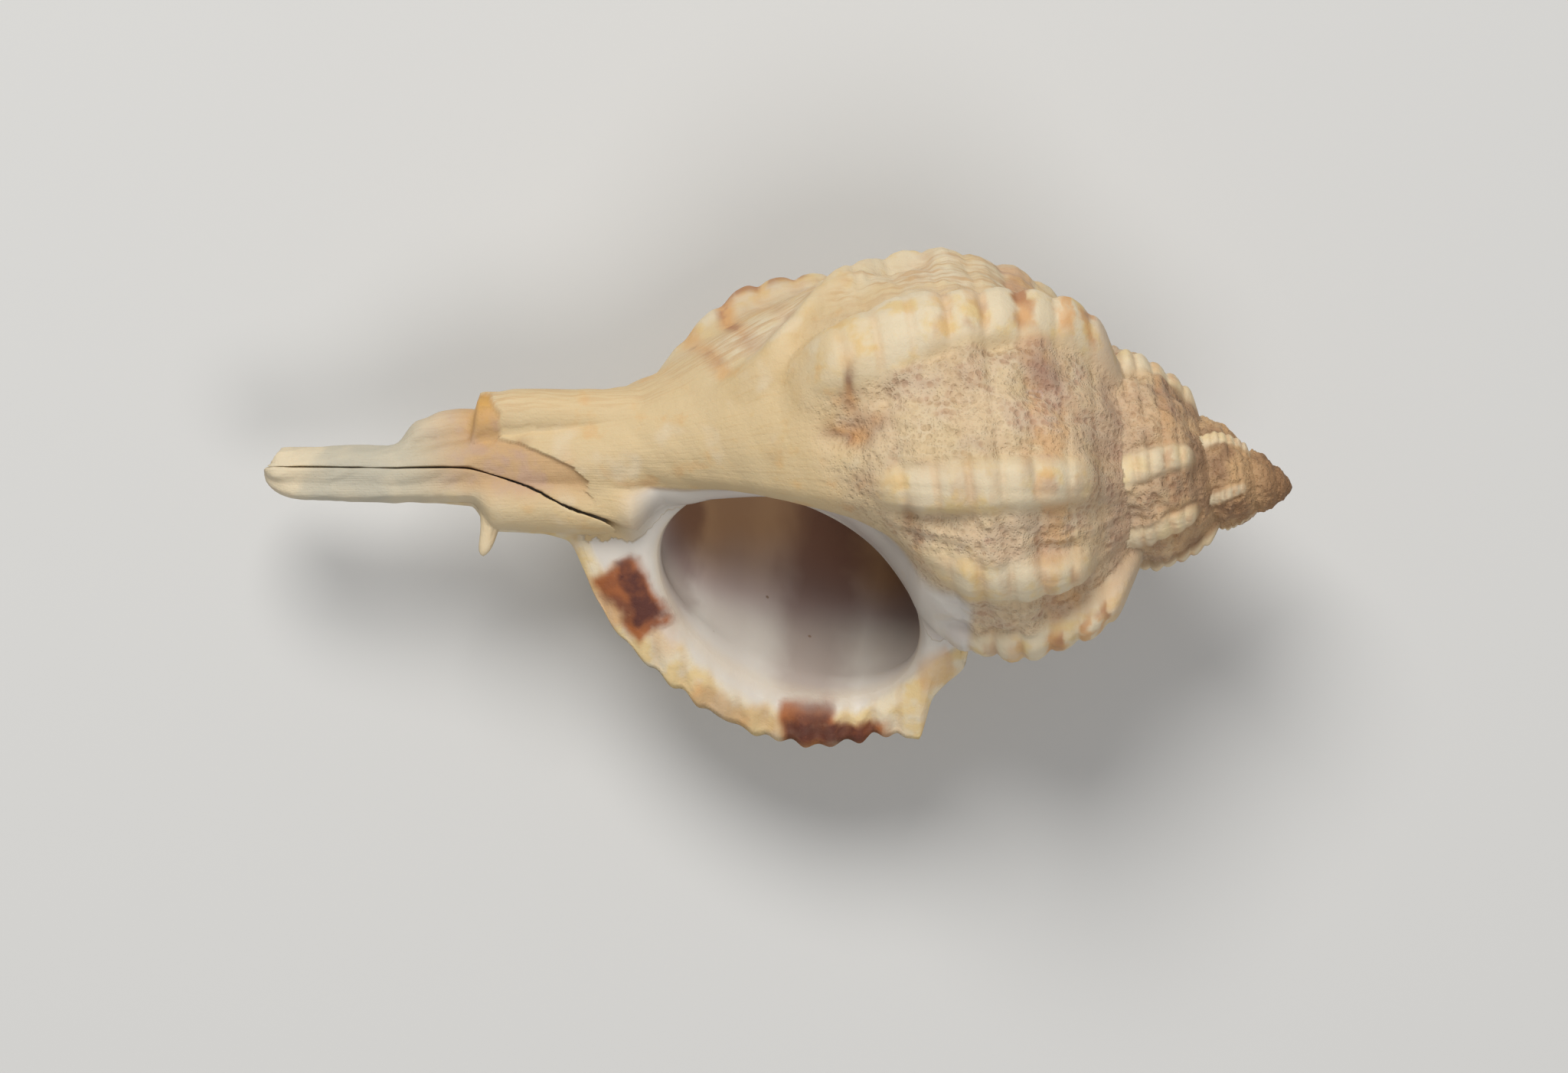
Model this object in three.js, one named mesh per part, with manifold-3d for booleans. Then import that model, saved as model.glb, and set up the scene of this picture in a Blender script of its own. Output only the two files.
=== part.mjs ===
// A murex shell: a dextral spiral of swelling whorls with three varices to the turn, a wide mouth
// with a flared, varicose outer lip, and a long, narrow, half open siphonal canal.
//
// The shell is worked out in its own growth frame. `a` is the distance from the apex along the
// coiling axis, `angle` turns about that axis, and `age` counts whorls back from the lip, so the
// lip has age 0 and the apex about 6. The body is one closed surface given by its radius at each
// (a, angle). The hollow of the mouth and the slit of the canal are cut out of it.

import * as THREE from "three";
import { mergeVertices } from "three/addons/utils/BufferGeometryUtils.js";
import Module from "manifold-3d";

// Driving dimensions, in millimetres and degrees.
const LENGTH = 62; // apex to canal tip
const LIP_ANGLE = -95; // the half plane that holds the outer lip
const LIP_SLOPE = 4; // how far the lip's outer edge leans back behind its rim
const SPIRE_TILT = 3.6; // the coiling axis against the line of the canal
const SPIRE_HEIGHT = 24; // how far down from the apex the tilt fades out
const SPIRE_CURVE = 1.2; // 1 would lean the spire straight
const CANAL_RECURVE = 1.6; // how far the canal's tip bends back
const CANAL_START = 38;
const CANAL_SAG = 0.45; // how far the canal hangs below the axis, from SAG_START on
const SAG_START = 46;

// At rest the shell lies mouth up on two ribs of its back, which are worn flat where it lies.
const REST_PITCH = -5;
const REST_WEAR = 0.25;

// Growth of the whorls: [age, value].
const PERIPHERY_RADIUS = [
  [-0.1, 13.9], [0, 13.6], [0.5, 12.3], [1, 10.4], [1.5, 7.3],
  [2, 5.1], [3, 2.6], [4, 1.55], [5, 0.95], [6, 0.5], [7, 0.2],
];
const PERIPHERY_PLACE = [
  [-0.1, 27.8], [0, 27], [0.5, 21.5], [1, 16.3], [1.5, 11],
  [2, 7.8], [3, 3.7], [4, 1.8], [5, 0.9], [6, 0.45], [7, 0.2],
];
const SUTURE_PLACE = [
  [-0.1, 20.9], [0, 19.3], [0.5, 12], [1, 9], [1.5, 6.3],
  [2, 4.4], [3, 2.1], [4, 1], [5, 0.48], [6, 0.2], [7, 0.1],
];
const SUTURE_RADIUS = [
  [-0.1, 10.2], [0, 9.8], [0.5, 7.1], [1, 5.2], [1.5, 3.7],
  [2, 2.6], [3, 1.7], [4, 1.15], [5, 0.7], [6, 0.35], [7, 0.1],
];
// Outline of a whorl: from the suture (0) to the periphery (1), then from there to the canal.
const SHOULDER_RISE = [
  [-0.3, -0.6], [0, 0], [0.2, 0.36], [0.4, 0.64], [0.6, 0.84], [0.8, 0.96], [1, 1],
];
const BASE_FALL = [
  [1, 1], [1.5, 0.93], [2, 0.77], [2.5, 0.55], [2.8, 0.41], [3.2, 0.28], [4, 0.14], [6, 0.04], [9, 0],
];
// Outline of a varix's crest, as a share of the whorl's periphery radius, on the last whorl and on
// the spire.
const CREST_OUTLINE = [
  [-0.3, 0.36], [-0.15, 0.55], [0, 0.74], [0.15, 0.91], [0.4, 1.02], [1, 1.11],
  [1.5, 1.06], [2.05, 0.96], [2.45, 0.7], [2.7, 0.44], [3.2, 0.2],
];
const SPIRE_CREST = [
  [-0.3, 0.4], [-0.15, 0.58], [0, 0.7], [0.25, 0.84], [0.5, 0.94], [0.75, 1.02], [1, 1.08],
  [1.5, 1.06], [3, 0.8],
];
const SPIRE_AGES = [1.02, 1.3]; // ages over which the first crest outline gives way to the second
const SUTURE_FILL = 0.09; // rounding where two whorls meet, as a share of the periphery radius
// Radius of the parietal wall and columella inside the mouth, at each a.
const COLUMELLA = [
  [19.3, 9.9], [21, 10], [22.3, 9.3], [23.4, 7.4], [25.3, 4.9], [28, 2.95],
  [31.7, 2.1], [34.7, 2.25], [36.7, 2.6], [38.5, 2.5], [43, 2.1], [62, 1.5],
];
// Radius of the lip's outer edge at each a, with the shoulder spine near the start.
const LIP_EDGE = [
  [18.6, 11], [19.6, 12.7], [20.7, 13.7], [21.5, 14.7], [21.9, 16.2], [22.3, 17.3], [23, 17.2],
  [24.5, 17], [28.4, 17.7], [31.7, 17.2], [34.5, 16.1], [37.2, 14.2], [39.1, 12.6],
  [40.9, 10.5], [41.8, 8.8], [42.7, 6.6], [43.7, 4.7], [45.5, 4.1], [48.3, 3.9], [49.4, 2.4], [62, 1],
];
const LIP_BACK = 13; // degrees over which the lip varix falls away behind its crest
// The mouth's inner wall takes over from the whorl across these angles below the front, and the
// wall and the lip both begin across these values of a.
const MOUTH_TURN = [12, 55];
const MOUTH_TOP = [19.3, 22.5];
const LIP_TOP = [18, 19.4];

// Varices and ribs. Each has its share of the full crest, where down the outline the crest has risen
// and where it ends, the degrees over which it falls away ahead and behind, how flat its top is, how
// far it follows RIDGE_LEAN, the degrees it swings back down the neck, and how much wider its front
// gets below the periphery.
const VARIX = {
  share: 1, start: 0.1, end: 2.15, lead: 6.8, trail: 11, flatness: 3, lean: 1, swing: 0, widening: 0,
};
const BLOCK_VARIX = { ...VARIX, end: 2.25, lead: 7.2, flatness: 3.4, widening: 0.9 };
const LOW_VARIX = { ...VARIX, lead: 8.5, trail: 16 };
const FLANGED_VARIX = { ...VARIX, end: 3.2, lead: 6.5, trail: 13, flatness: 2.6 };
const RIB = { ...VARIX, share: 0.68, start: 0.42, end: 2, lead: 9, trail: 10, flatness: 2.4 };
const LEVEL_RIB = { ...RIB, lean: 0.35 };
const TURNED_RIB = { ...RIB, lean: -0.1 };
const SPIRE_RIB = { ...RIB, share: 0.82, start: 0.35 };
const BACK_RIB = { ...RIB, share: 0.95, start: 0.3, flatness: 2 };
const LOW_RIB = { ...RIB, share: 0.5, start: 0.3, end: 2.7, lead: 7, trail: 9, flatness: 2, swing: -28 };
const RIDGE_RISE = 0.35; // how long a crest takes to rise, and to end, along the outline
const RIDGE_FADE = 0.5;
const SWING = [1.4, 2.4]; // where down the outline a ridge swings, and where its front widens
const WIDENING = [1, 1.4];
// The ridges: age at the periphery, and kind.
const RIDGES = [
  [0.165, BACK_RIB], [0.275, BACK_RIB], [0.365, FLANGED_VARIX], [0.49, LOW_RIB],
  [0.607, BLOCK_VARIX], [0.753, LEVEL_RIB], [0.838, TURNED_RIB], [0.94, LOW_VARIX],
  [1.12, SPIRE_RIB], [1.27, VARIX], [1.41, SPIRE_RIB], [1.54, VARIX],
  [1.72, SPIRE_RIB], [1.84, SPIRE_RIB], [1.97, VARIX], [2.12, SPIRE_RIB], [2.28, VARIX],
  [2.44, SPIRE_RIB], [2.6, VARIX], [2.78, SPIRE_RIB], [2.97, VARIX],
];
const RIDGE_LEAN = [[-0.3, 18], [0, 14], [1, 0], [1.8, -12], [3, -22], [5, -25]]; // outline to degrees

// The canal is round, with the lip's flange on one side and worn older canals on the other.
// Each ridge beside it: rows of a, distance from the axis, and radius.
const CANAL_RADIUS = [[36, 1], [40, 2.6], [44, 2.35], [49, 2], [54, 1.75], [62, 1.65]];
const FLANGE = {
  angle: -92,
  rows: [[41, 2.4, 1.95], [44, 2.3, 1.95], [48, 1.95, 1.95], [49.6, 0.4, 1.5], [62, 0, 0.5]],
};
const OLD_CANAL = {
  angle: 78,
  rows: [[36, 2.2, 1.5], [40, 2.9, 1.5], [48.9, 3, 1.45], [49.6, 0.8, 1], [62, 0, 0.5]],
};
const OLD_EDGE = {
  angle: 95,
  rows: [[44, 1, 1.2], [50, 2.6, 1.2], [52.6, 2.2, 1.1], [54.4, 0.5, 1], [62, 0, 0.5]],
};
const FLAP = {
  angle: -78,
  rows: [[35, 0.6, 1], [37.2, 2.4, 1.7], [39.5, 2.7, 1.7], [42, 1.6, 1.6], [46, 0.5, 1.2], [62, 0, 0.5]],
};
const CANAL_SIDES = [FLANGE, OLD_CANAL, OLD_EDGE, FLAP];
const CANAL_BLEND = 0.4; // rounding between these ridges, and between the canal and the whorl
const NECK_BLEND = 1;
const NECK_RUN = 2; // how far the canal takes, each side of its start, to reach its full radius
// The canal's tip is cut slanting above and worn round below.
const TIP_SLANT = 0.8;
const TIP_ROUND = 0.4;
const TIP_WEAR = 2.2;

// The hollow of the last whorls: an oval section [age, centre a, centre radius, half height,
// half width], which leans with the whorl. It widens towards the lip's rim.
const HOLLOW = [
  [-0.04, 30.3, 7.45, 7.8, 5.15], [0, 30.3, 7.45, 7.8, 5.15], [0.08, 29.3, 7.3, 8.5, 4.9],
  [0.25, 26.7, 6.9, 8.4, 4.5], [0.5, 23, 6.4, 7.4, 4.1], [0.75, 19.6, 5.9, 6.2, 3.6],
  [1, 16.2, 4.9, 5.2, 2.9], [1.3, 13, 3.9, 3.4, 1.8], [1.36, 12.6, 3.8, 1.2, 0.7],
];
const HOLLOW_LEAN = -0.29;
const MOUTH_FLARE = [
  [-0.04, 3.2], [-0.01, 2], [0, 1.5], [0.02, 0.85], [0.05, 0.35], [0.1, 0], [2, 0],
];
const FLARE_ALONG = 0.5; // share of the flare that also lengthens the section

// The canal's slit, seen from the mouth's side: [a, distance below the axis].
const SLIT = [
  [37, 5.6], [39.7, 4.5], [41.2, 3.6], [43.7, 2.7], [46, 1.5], [48.3, 0.6], [50, 0.1],
  [54, -0.1], [63, -0.2],
];
const SLIT_WIDTH = 0.5;
const SLIT_FLOOR = -0.8;
const SLIT_TOP = 9;

// The small spine below the canal: a, lean, base radius, and distances from the axis.
const CANAL_SPINE = { a: 48, lean: 8, radius: 0.8, from: 2.3, to: 5.5 };

// Fineness of the surface.
const ROWS = 64;
const COLUMNS = 58;
const ROW_CROWDING = [0.65, 1.7]; // the share of the spacing that follows a power, and the power
const LIP_FACE_STEPS = [0.12, 0.35, 0.68];
const HOLLOW_SECTIONS = 26;
const HOLLOW_POINTS = 14;
const HOLLOW_CROWDING = 1.3;
const SLIT_SECTIONS = 14;
const SPINE_SIDES = 8;
const WELD = 1e-3;

const RADIANS = Math.PI / 180;
const OLDEST = 6;
const { lerp, smoothstep } = THREE.MathUtils;

// A smooth curve through [x, y] points that never overshoots them.
function curveThrough(points) {
  const slopes = points.map((point, i) => {
    if (i === 0 || i === points.length - 1) return 0;
    const before = (point[1] - points[i - 1][1]) / (point[0] - points[i - 1][0]);
    const after = (points[i + 1][1] - point[1]) / (points[i + 1][0] - point[0]);
    return before * after <= 0 ? 0 : (2 * before * after) / (before + after);
  });
  return (x) => {
    const last = points.length - 1;
    if (x <= points[0][0]) return points[0][1];
    if (x >= points[last][0]) return points[last][1];
    let i = 0;
    while (points[i + 1][0] < x) i += 1;
    const step = points[i + 1][0] - points[i][0];
    const s = (x - points[i][0]) / step;
    const from = points[i][1] * (1 + 2 * s) * (1 - s) ** 2 + slopes[i] * step * s * (1 - s) ** 2;
    const to = points[i + 1][1] * s * s * (3 - 2 * s) + slopes[i + 1] * step * s * s * (s - 1);
    return from + to;
  };
}

const peripheryRadius = curveThrough(PERIPHERY_RADIUS);
const peripheryPlace = curveThrough(PERIPHERY_PLACE);
const suturePlace = curveThrough(SUTURE_PLACE);
const sutureRadius = curveThrough(SUTURE_RADIUS);
const shoulderRise = curveThrough(SHOULDER_RISE);
const baseFall = curveThrough(BASE_FALL);
const columella = curveThrough(COLUMELLA);
const lipEdge = curveThrough(LIP_EDGE);
const ridgeLean = curveThrough(RIDGE_LEAN);
const crestOutline = curveThrough(CREST_OUTLINE);
const spireCrest = curveThrough(SPIRE_CREST);
const canalRadius = curveThrough(CANAL_RADIUS);
const mouthFlare = curveThrough(MOUTH_FLARE);
const slitDepth = curveThrough(SLIT);
const canalSides = CANAL_SIDES.map(({ angle, rows }) => ({
  angle,
  reach: curveThrough(rows.map((row) => [row[0], row[1]])),
  radius: curveThrough(rows.map((row) => [row[0], row[2]])),
}));

// The larger of two radii, with the corner between them rounded over `blend`.
function softMax(p, q, blend) {
  const overlap = Math.max(blend - Math.abs(p - q), 0) / blend;
  return Math.max(p, q) + (overlap * overlap * blend) / 4;
}

// How far down its own outline a whorl is at a: 0 at the suture, 1 at the periphery.
function outlinePlace(age, a) {
  return (a - suturePlace(age)) / (peripheryPlace(age) - suturePlace(age));
}

// Radius of one whorl with no ribs. Above the suture it dives under the whorl before.
function whorlRadius(age, a) {
  const place = outlinePlace(age, a);
  if (place > 1) return peripheryRadius(age) * baseFall(place);
  return lerp(sutureRadius(age), peripheryRadius(age), shoulderRise(place));
}

// How much of a full crest stands at a point: 1 on a varix, less on a rib.
function ridgeShare(age, place) {
  let share = 0;
  for (const [crest, ridge] of RIDGES) {
    const turned = ridge.lean * ridgeLean(place) + ridge.swing * smoothstep(place, ...SWING);
    const ahead = 360 * (crest - age) - turned;
    const front = ridge.lead * (1 + ridge.widening * smoothstep(place, ...WIDENING));
    const fall = Math.exp(-(Math.abs(ahead / (ahead > 0 ? front : ridge.trail)) ** ridge.flatness));
    const rising = smoothstep(place, ridge.start - RIDGE_RISE, ridge.start);
    const ending = 1 - smoothstep(place, ridge.end - RIDGE_FADE, ridge.end);
    share = Math.max(share, ridge.share * fall * rising * ending);
  }
  return share;
}

// Radius of one whorl with its varices and ribs, or 0 where it hasn't begun.
function ribbedRadius(age, a) {
  const place = outlinePlace(age, a);
  if (place < CREST_OUTLINE[0][0]) return 0;
  const plain = whorlRadius(age, a);
  const crest = lerp(crestOutline(place), spireCrest(place), smoothstep(age, ...SPIRE_AGES));
  return plain + ridgeShare(age, place) * Math.max(crest * peripheryRadius(age) - plain, 0);
}

// Radius, in the direction of `angle`, of a round ridge that stands off the axis.
function offsetRound(angle, side, a) {
  const reach = side.reach(a);
  const radius = side.radius(a);
  const turn = (angle - side.angle) * RADIANS;
  const miss = reach * Math.sin(turn);
  if (Math.cos(turn) < 0 || Math.abs(miss) > radius) return 0;
  return reach * Math.cos(turn) + Math.sqrt(radius ** 2 - miss ** 2);
}

// Radius of the canal with the ridges beside it.
function canalOutline(a, angle) {
  let radius = canalRadius(a);
  for (const side of canalSides) {
    const ridge = Math.max(offsetRound(angle, side, a), offsetRound(angle - 360, side, a));
    radius = softMax(radius, ridge, CANAL_BLEND);
  }
  return radius * smoothstep(a, CANAL_START - NECK_RUN, CANAL_START + NECK_RUN);
}

// How much of its radius the canal keeps near its tip.
function tipShare(a, angle) {
  const up = Math.sin(angle * RADIANS);
  const end = LENGTH - TIP_SLANT * Math.max(up, 0);
  const s = THREE.MathUtils.clamp((end - a) / (TIP_ROUND + TIP_WEAR * Math.max(-up, 0)), 0, 1);
  return Math.sqrt(1 - (1 - s) ** 2);
}

// Outer radius of the shell. `angle` runs from the lip's half plane once round to its back.
function outerRadius(a, angle) {
  const firstAge = (LIP_ANGLE + 360 - angle) / 360;
  let radius = 0;
  for (let age = firstAge; age < OLDEST + 1; age += 1) {
    const whorl = ribbedRadius(age, a);
    const meet = whorl > 0 && radius > 0;
    radius = meet ? softMax(whorl, radius, SUTURE_FILL * peripheryRadius(age)) : Math.max(whorl, radius);
  }
  const inMouth = smoothstep(-angle, ...MOUTH_TURN) * smoothstep(a, ...MOUTH_TOP);
  radius = lerp(radius, columella(a), inMouth);
  const behindLip = Math.exp(-(((360 * firstAge) / LIP_BACK) ** 2));
  radius = lerp(radius, Math.max(radius, lipEdge(a) * smoothstep(a, ...LIP_TOP)), behindLip);
  if (a > CANAL_START - NECK_RUN) radius = softMax(radius, canalOutline(a, angle), NECK_BLEND);
  return radius * tipShare(a, angle);
}

// A point of the growth frame in space: the spire leans a little and the canal bends back.
function pointAt(a, angle, radius) {
  const lean = Math.max(1 - a / SPIRE_HEIGHT, 0);
  const tilt = SPIRE_TILT * RADIANS * Math.min(2 * lean, 1);
  const down = Math.max(a - SAG_START, 0) / (LENGTH - SAG_START);
  const back = Math.max(a - CANAL_START, 0) / (LENGTH - CANAL_START);
  const drop = Math.tan(SPIRE_TILT * RADIANS) * SPIRE_HEIGHT * lean ** SPIRE_CURVE;
  const up = radius * Math.sin(angle * RADIANS);
  return new THREE.Vector3(
    -a + up * Math.sin(tilt),
    up - drop - CANAL_SAG * Math.min(2 * down, 1),
    radius * Math.cos(angle * RADIANS) - CANAL_RECURVE * back ** 2,
  );
}

// Closes rings of points into one body: rings[i][j], with a point before and after them.
function closedBody(rings, start, end) {
  const points = [start, ...rings.flat(), end];
  const width = rings[0].length;
  const at = (i, j) => 1 + i * width + (j % width);
  const triangles = [];
  for (let j = 0; j < width; j += 1) {
    triangles.push(0, at(0, j + 1), at(0, j));
    triangles.push(points.length - 1, at(rings.length - 1, j), at(rings.length - 1, j + 1));
    for (let i = 0; i + 1 < rings.length; i += 1) {
      triangles.push(at(i, j), at(i, j + 1), at(i + 1, j));
      triangles.push(at(i, j + 1), at(i + 1, j + 1), at(i + 1, j));
    }
  }
  const geometry = new THREE.BufferGeometry();
  geometry.setAttribute("position", new THREE.Float32BufferAttribute(points.flatMap((p) => p.toArray()), 3));
  geometry.setIndex(triangles);
  return geometry;
}

const wasm = await Module();
wasm.setup();

// Six times the volume inside a closed mesh, negative where its faces point in.
function signedVolume(positions, triangles) {
  const corner = (i) => new THREE.Vector3().fromArray(positions, 3 * triangles[i]);
  let sum = 0;
  for (let i = 0; i < triangles.length; i += 3) {
    sum += corner(i).dot(corner(i + 1).cross(corner(i + 2)));
  }
  return sum;
}

// A closed geometry as a solid, with equal vertices welded and collapsed triangles dropped.
function solidOf(geometry) {
  const bare = new THREE.BufferGeometry();
  bare.setAttribute("position", geometry.getAttribute("position").clone());
  bare.setIndex(geometry.index ? [...geometry.index.array] : null);
  const welded = mergeVertices(bare, WELD);
  const kept = [];
  for (let i = 0; i < welded.index.count; i += 3) {
    const [p, q, r] = welded.index.array.slice(i, i + 3);
    if (p !== q && q !== r && r !== p) kept.push(p, q, r);
  }
  const vertProperties = welded.getAttribute("position").array;
  if (signedVolume(vertProperties, kept) < 0) kept.reverse();
  return new wasm.Manifold(new wasm.Mesh({ numProp: 3, vertProperties, triVerts: new Uint32Array(kept) }));
}

// Rows crowd towards the apex, where the whorls are small.
function rowPlaces() {
  const rows = [];
  for (let i = 1; i < ROWS; i += 1) {
    const s = i / ROWS;
    rows.push(LENGTH * lerp(s, s ** ROW_CROWDING[1], ROW_CROWDING[0]));
  }
  return rows;
}

function bodySolid() {
  const sweep = 360 - LIP_SLOPE;
  const rings = rowPlaces().map((a) => {
    const ring = [];
    for (let j = 0; j <= COLUMNS; j += 1) {
      const angle = LIP_ANGLE + (sweep * j) / COLUMNS;
      ring.push(pointAt(a, angle, outerRadius(a, angle)));
    }
    const crest = outerRadius(a, LIP_ANGLE + sweep);
    const inner = outerRadius(a, LIP_ANGLE);
    for (const s of LIP_FACE_STEPS) {
      const angle = LIP_ANGLE - LIP_SLOPE * (1 - s) ** 2;
      ring.push(pointAt(a, angle, lerp(crest, inner, s)));
    }
    return ring;
  });
  return solidOf(closedBody(rings, pointAt(0, 0, 0), pointAt(LENGTH, 0, 0)));
}

function hollowSolid() {
  const columns = [1, 2, 3, 4].map((k) => curveThrough(HOLLOW.map((row) => [row[0], row[k]])));
  const first = HOLLOW[0][0];
  const last = HOLLOW[HOLLOW.length - 1][0];
  const rings = [];
  const centres = [];
  for (let i = 0; i <= HOLLOW_SECTIONS; i += 1) {
    const s = i / HOLLOW_SECTIONS;
    const age = lerp(first, last, s ** HOLLOW_CROWDING);
    const [centreA, centreRadius, halfHeight, halfWidth] = columns.map((f) => f(age));
    const ring = [];
    for (let j = 0; j < HOLLOW_POINTS; j += 1) {
      const turn = (2 * Math.PI * j) / HOLLOW_POINTS;
      const outward = Math.max(Math.sin(turn), 0) ** 0.5 * mouthFlare(age);
      const a = centreA + (halfHeight + FLARE_ALONG * outward) * Math.cos(turn);
      const radius = centreRadius + HOLLOW_LEAN * (a - centreA) + halfWidth * Math.sin(turn) + outward;
      ring.push(pointAt(a, LIP_ANGLE - 360 * age, radius));
    }
    rings.push(ring);
    centres.push(pointAt(centreA, LIP_ANGLE - 360 * age, centreRadius));
  }
  return solidOf(closedBody(rings, centres[0], centres[centres.length - 1]));
}

function slitSolid() {
  const rings = [];
  for (let i = 0; i <= SLIT_SECTIONS; i += 1) {
    const a = lerp(SLIT[0][0], SLIT[SLIT.length - 1][0], i / SLIT_SECTIONS);
    const middle = pointAt(a, 0, 0);
    const y = middle.y - slitDepth(a);
    const floor = middle.z + SLIT_FLOOR;
    const corners = [[-1, floor], [1, floor], [1, SLIT_TOP], [-1, SLIT_TOP]];
    rings.push(corners.map(([side, z]) => new THREE.Vector3(-a, y + (side * SLIT_WIDTH) / 2, z)));
  }
  const middleOf = (ring) => ring.reduce((sum, p) => sum.add(p), new THREE.Vector3()).divideScalar(4);
  return solidOf(closedBody(rings, middleOf(rings[0]), middleOf(rings[SLIT_SECTIONS])));
}

function canalSpineSolid() {
  const { a, lean, radius, from, to } = CANAL_SPINE;
  const cone = new THREE.ConeGeometry(radius, to - from, SPINE_SIDES);
  cone.translate(0, (to - from) / 2, 0);
  cone.rotateZ(Math.PI - lean * RADIANS);
  const root = pointAt(a, -90, from);
  cone.translate(root.x, root.y, root.z);
  return solidOf(cone);
}

function geometryOf(solid) {
  const mesh = solid.getMesh();
  const geometry = new THREE.BufferGeometry();
  geometry.setAttribute("position", new THREE.BufferAttribute(new Float32Array(mesh.vertProperties), 3));
  geometry.setIndex(new THREE.BufferAttribute(new Uint32Array(mesh.triVerts), 1));
  return geometry;
}

// Lays the shell on z = 0 at its resting pitch, with the middle of its box over the origin.
function laidDown(geometry) {
  geometry.rotateY(REST_PITCH * RADIANS);
  geometry.computeBoundingBox();
  const { min, max } = geometry.boundingBox;
  geometry.translate(-(min.x + max.x) / 2, -(min.y + max.y) / 2, -min.z - REST_WEAR);
  const below = new THREE.BoxGeometry(2 * LENGTH, 2 * LENGTH, LENGTH).translate(0, 0, -LENGTH / 2);
  return geometryOf(solidOf(geometry).subtract(solidOf(below)));
}

function shellGeometry() {
  const grown = bodySolid().subtract(hollowSolid()).subtract(slitSolid()).add(canalSpineSolid());
  return laidDown(geometryOf(grown));
}

const shellMaterial = new THREE.MeshStandardMaterial({ color: 0xd6c19a, roughness: 0.6, metalness: 0 });
const shell = new THREE.Mesh(shellGeometry(), shellMaterial);
shell.name = "shell";

const group = new THREE.Group();
group.add(shell);
export default group;
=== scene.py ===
"""A murex shell, lying mouth up: the finished surface and its materials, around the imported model."""

import math

import bmesh
import bpy
import numpy as np
from mathutils import Matrix, Vector
from mathutils.bvhtree import BVHTree


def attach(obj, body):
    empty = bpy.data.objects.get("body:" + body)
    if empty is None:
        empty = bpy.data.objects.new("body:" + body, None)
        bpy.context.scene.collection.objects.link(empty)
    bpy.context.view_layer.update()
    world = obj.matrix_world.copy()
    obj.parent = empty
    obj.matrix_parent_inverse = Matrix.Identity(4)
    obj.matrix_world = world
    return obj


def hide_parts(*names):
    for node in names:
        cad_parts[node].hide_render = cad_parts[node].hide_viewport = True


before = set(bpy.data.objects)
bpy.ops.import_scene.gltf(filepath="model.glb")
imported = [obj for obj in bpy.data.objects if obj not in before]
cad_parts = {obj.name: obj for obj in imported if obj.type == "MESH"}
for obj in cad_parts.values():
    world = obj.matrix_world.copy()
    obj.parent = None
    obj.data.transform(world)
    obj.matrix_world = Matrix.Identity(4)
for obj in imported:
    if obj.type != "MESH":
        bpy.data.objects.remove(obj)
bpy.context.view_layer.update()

MM = 0.001

# -------- growth of the shell, in mm and degrees
# `a` is the distance from the apex along the coiling axis, `angle` turns about that axis, and `age`
# counts whorls back from the lip. `place` is how far down its own outline a whorl is: 0 at the
# suture, 1 at the periphery.
LENGTH = 62.0  # apex to canal tip
LIP_ANGLE = -95.0  # the half plane that holds the outer lip
LIP_SLOPE = 4.0  # how far the lip's outer edge leans back behind its rim
SPIRE_TILT = math.radians(3.6)  # the coiling axis against the line of the canal
SPIRE_HEIGHT = 24.0  # how far down from the apex the tilt fades out
SPIRE_CURVE = 1.2  # 1 would lean the spire straight
CANAL_START = 38.0
CANAL_RECURVE = 1.6  # how far the canal's tip bends back
CANAL_SAG, SAG_START = 0.45, 46.0  # how far the canal hangs below the axis, and where that starts
OLDEST = 6  # whorls behind the lip
REST_PITCH = math.radians(-5)
REST_SHIFT = np.array([30.78995, 2.10054, 15.67454])  # from the turned growth frame to the model's

PERIPHERY_RADIUS = [(-0.1, 13.9), (0, 13.6), (0.5, 12.3), (1, 10.4), (1.5, 7.3), (2, 5.1),
                    (3, 2.6), (4, 1.55), (5, 0.95), (6, 0.5), (7, 0.2)]
PERIPHERY_PLACE = [(-0.1, 27.8), (0, 27), (0.5, 21.5), (1, 16.3), (1.5, 11), (2, 7.8),
                   (3, 3.7), (4, 1.8), (5, 0.9), (6, 0.45), (7, 0.2)]
SUTURE_PLACE = [(-0.1, 20.9), (0, 19.3), (0.5, 12), (1, 9), (1.5, 6.3), (2, 4.4),
                (3, 2.1), (4, 1), (5, 0.48), (6, 0.2), (7, 0.1)]
SUTURE_RADIUS = [(-0.1, 10.2), (0, 9.8), (0.5, 7.1), (1, 5.2), (1.5, 3.7), (2, 2.6),
                 (3, 1.7), (4, 1.15), (5, 0.7), (6, 0.35), (7, 0.1)]
SHOULDER_RISE = [(-0.3, -0.6), (0, 0), (0.2, 0.36), (0.4, 0.64), (0.6, 0.84), (0.8, 0.96), (1, 1)]
BASE_FALL = [(1, 1), (1.5, 0.93), (2, 0.77), (2.5, 0.55), (2.8, 0.41), (3.2, 0.28), (4, 0.14),
             (6, 0.04), (9, 0)]
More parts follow.
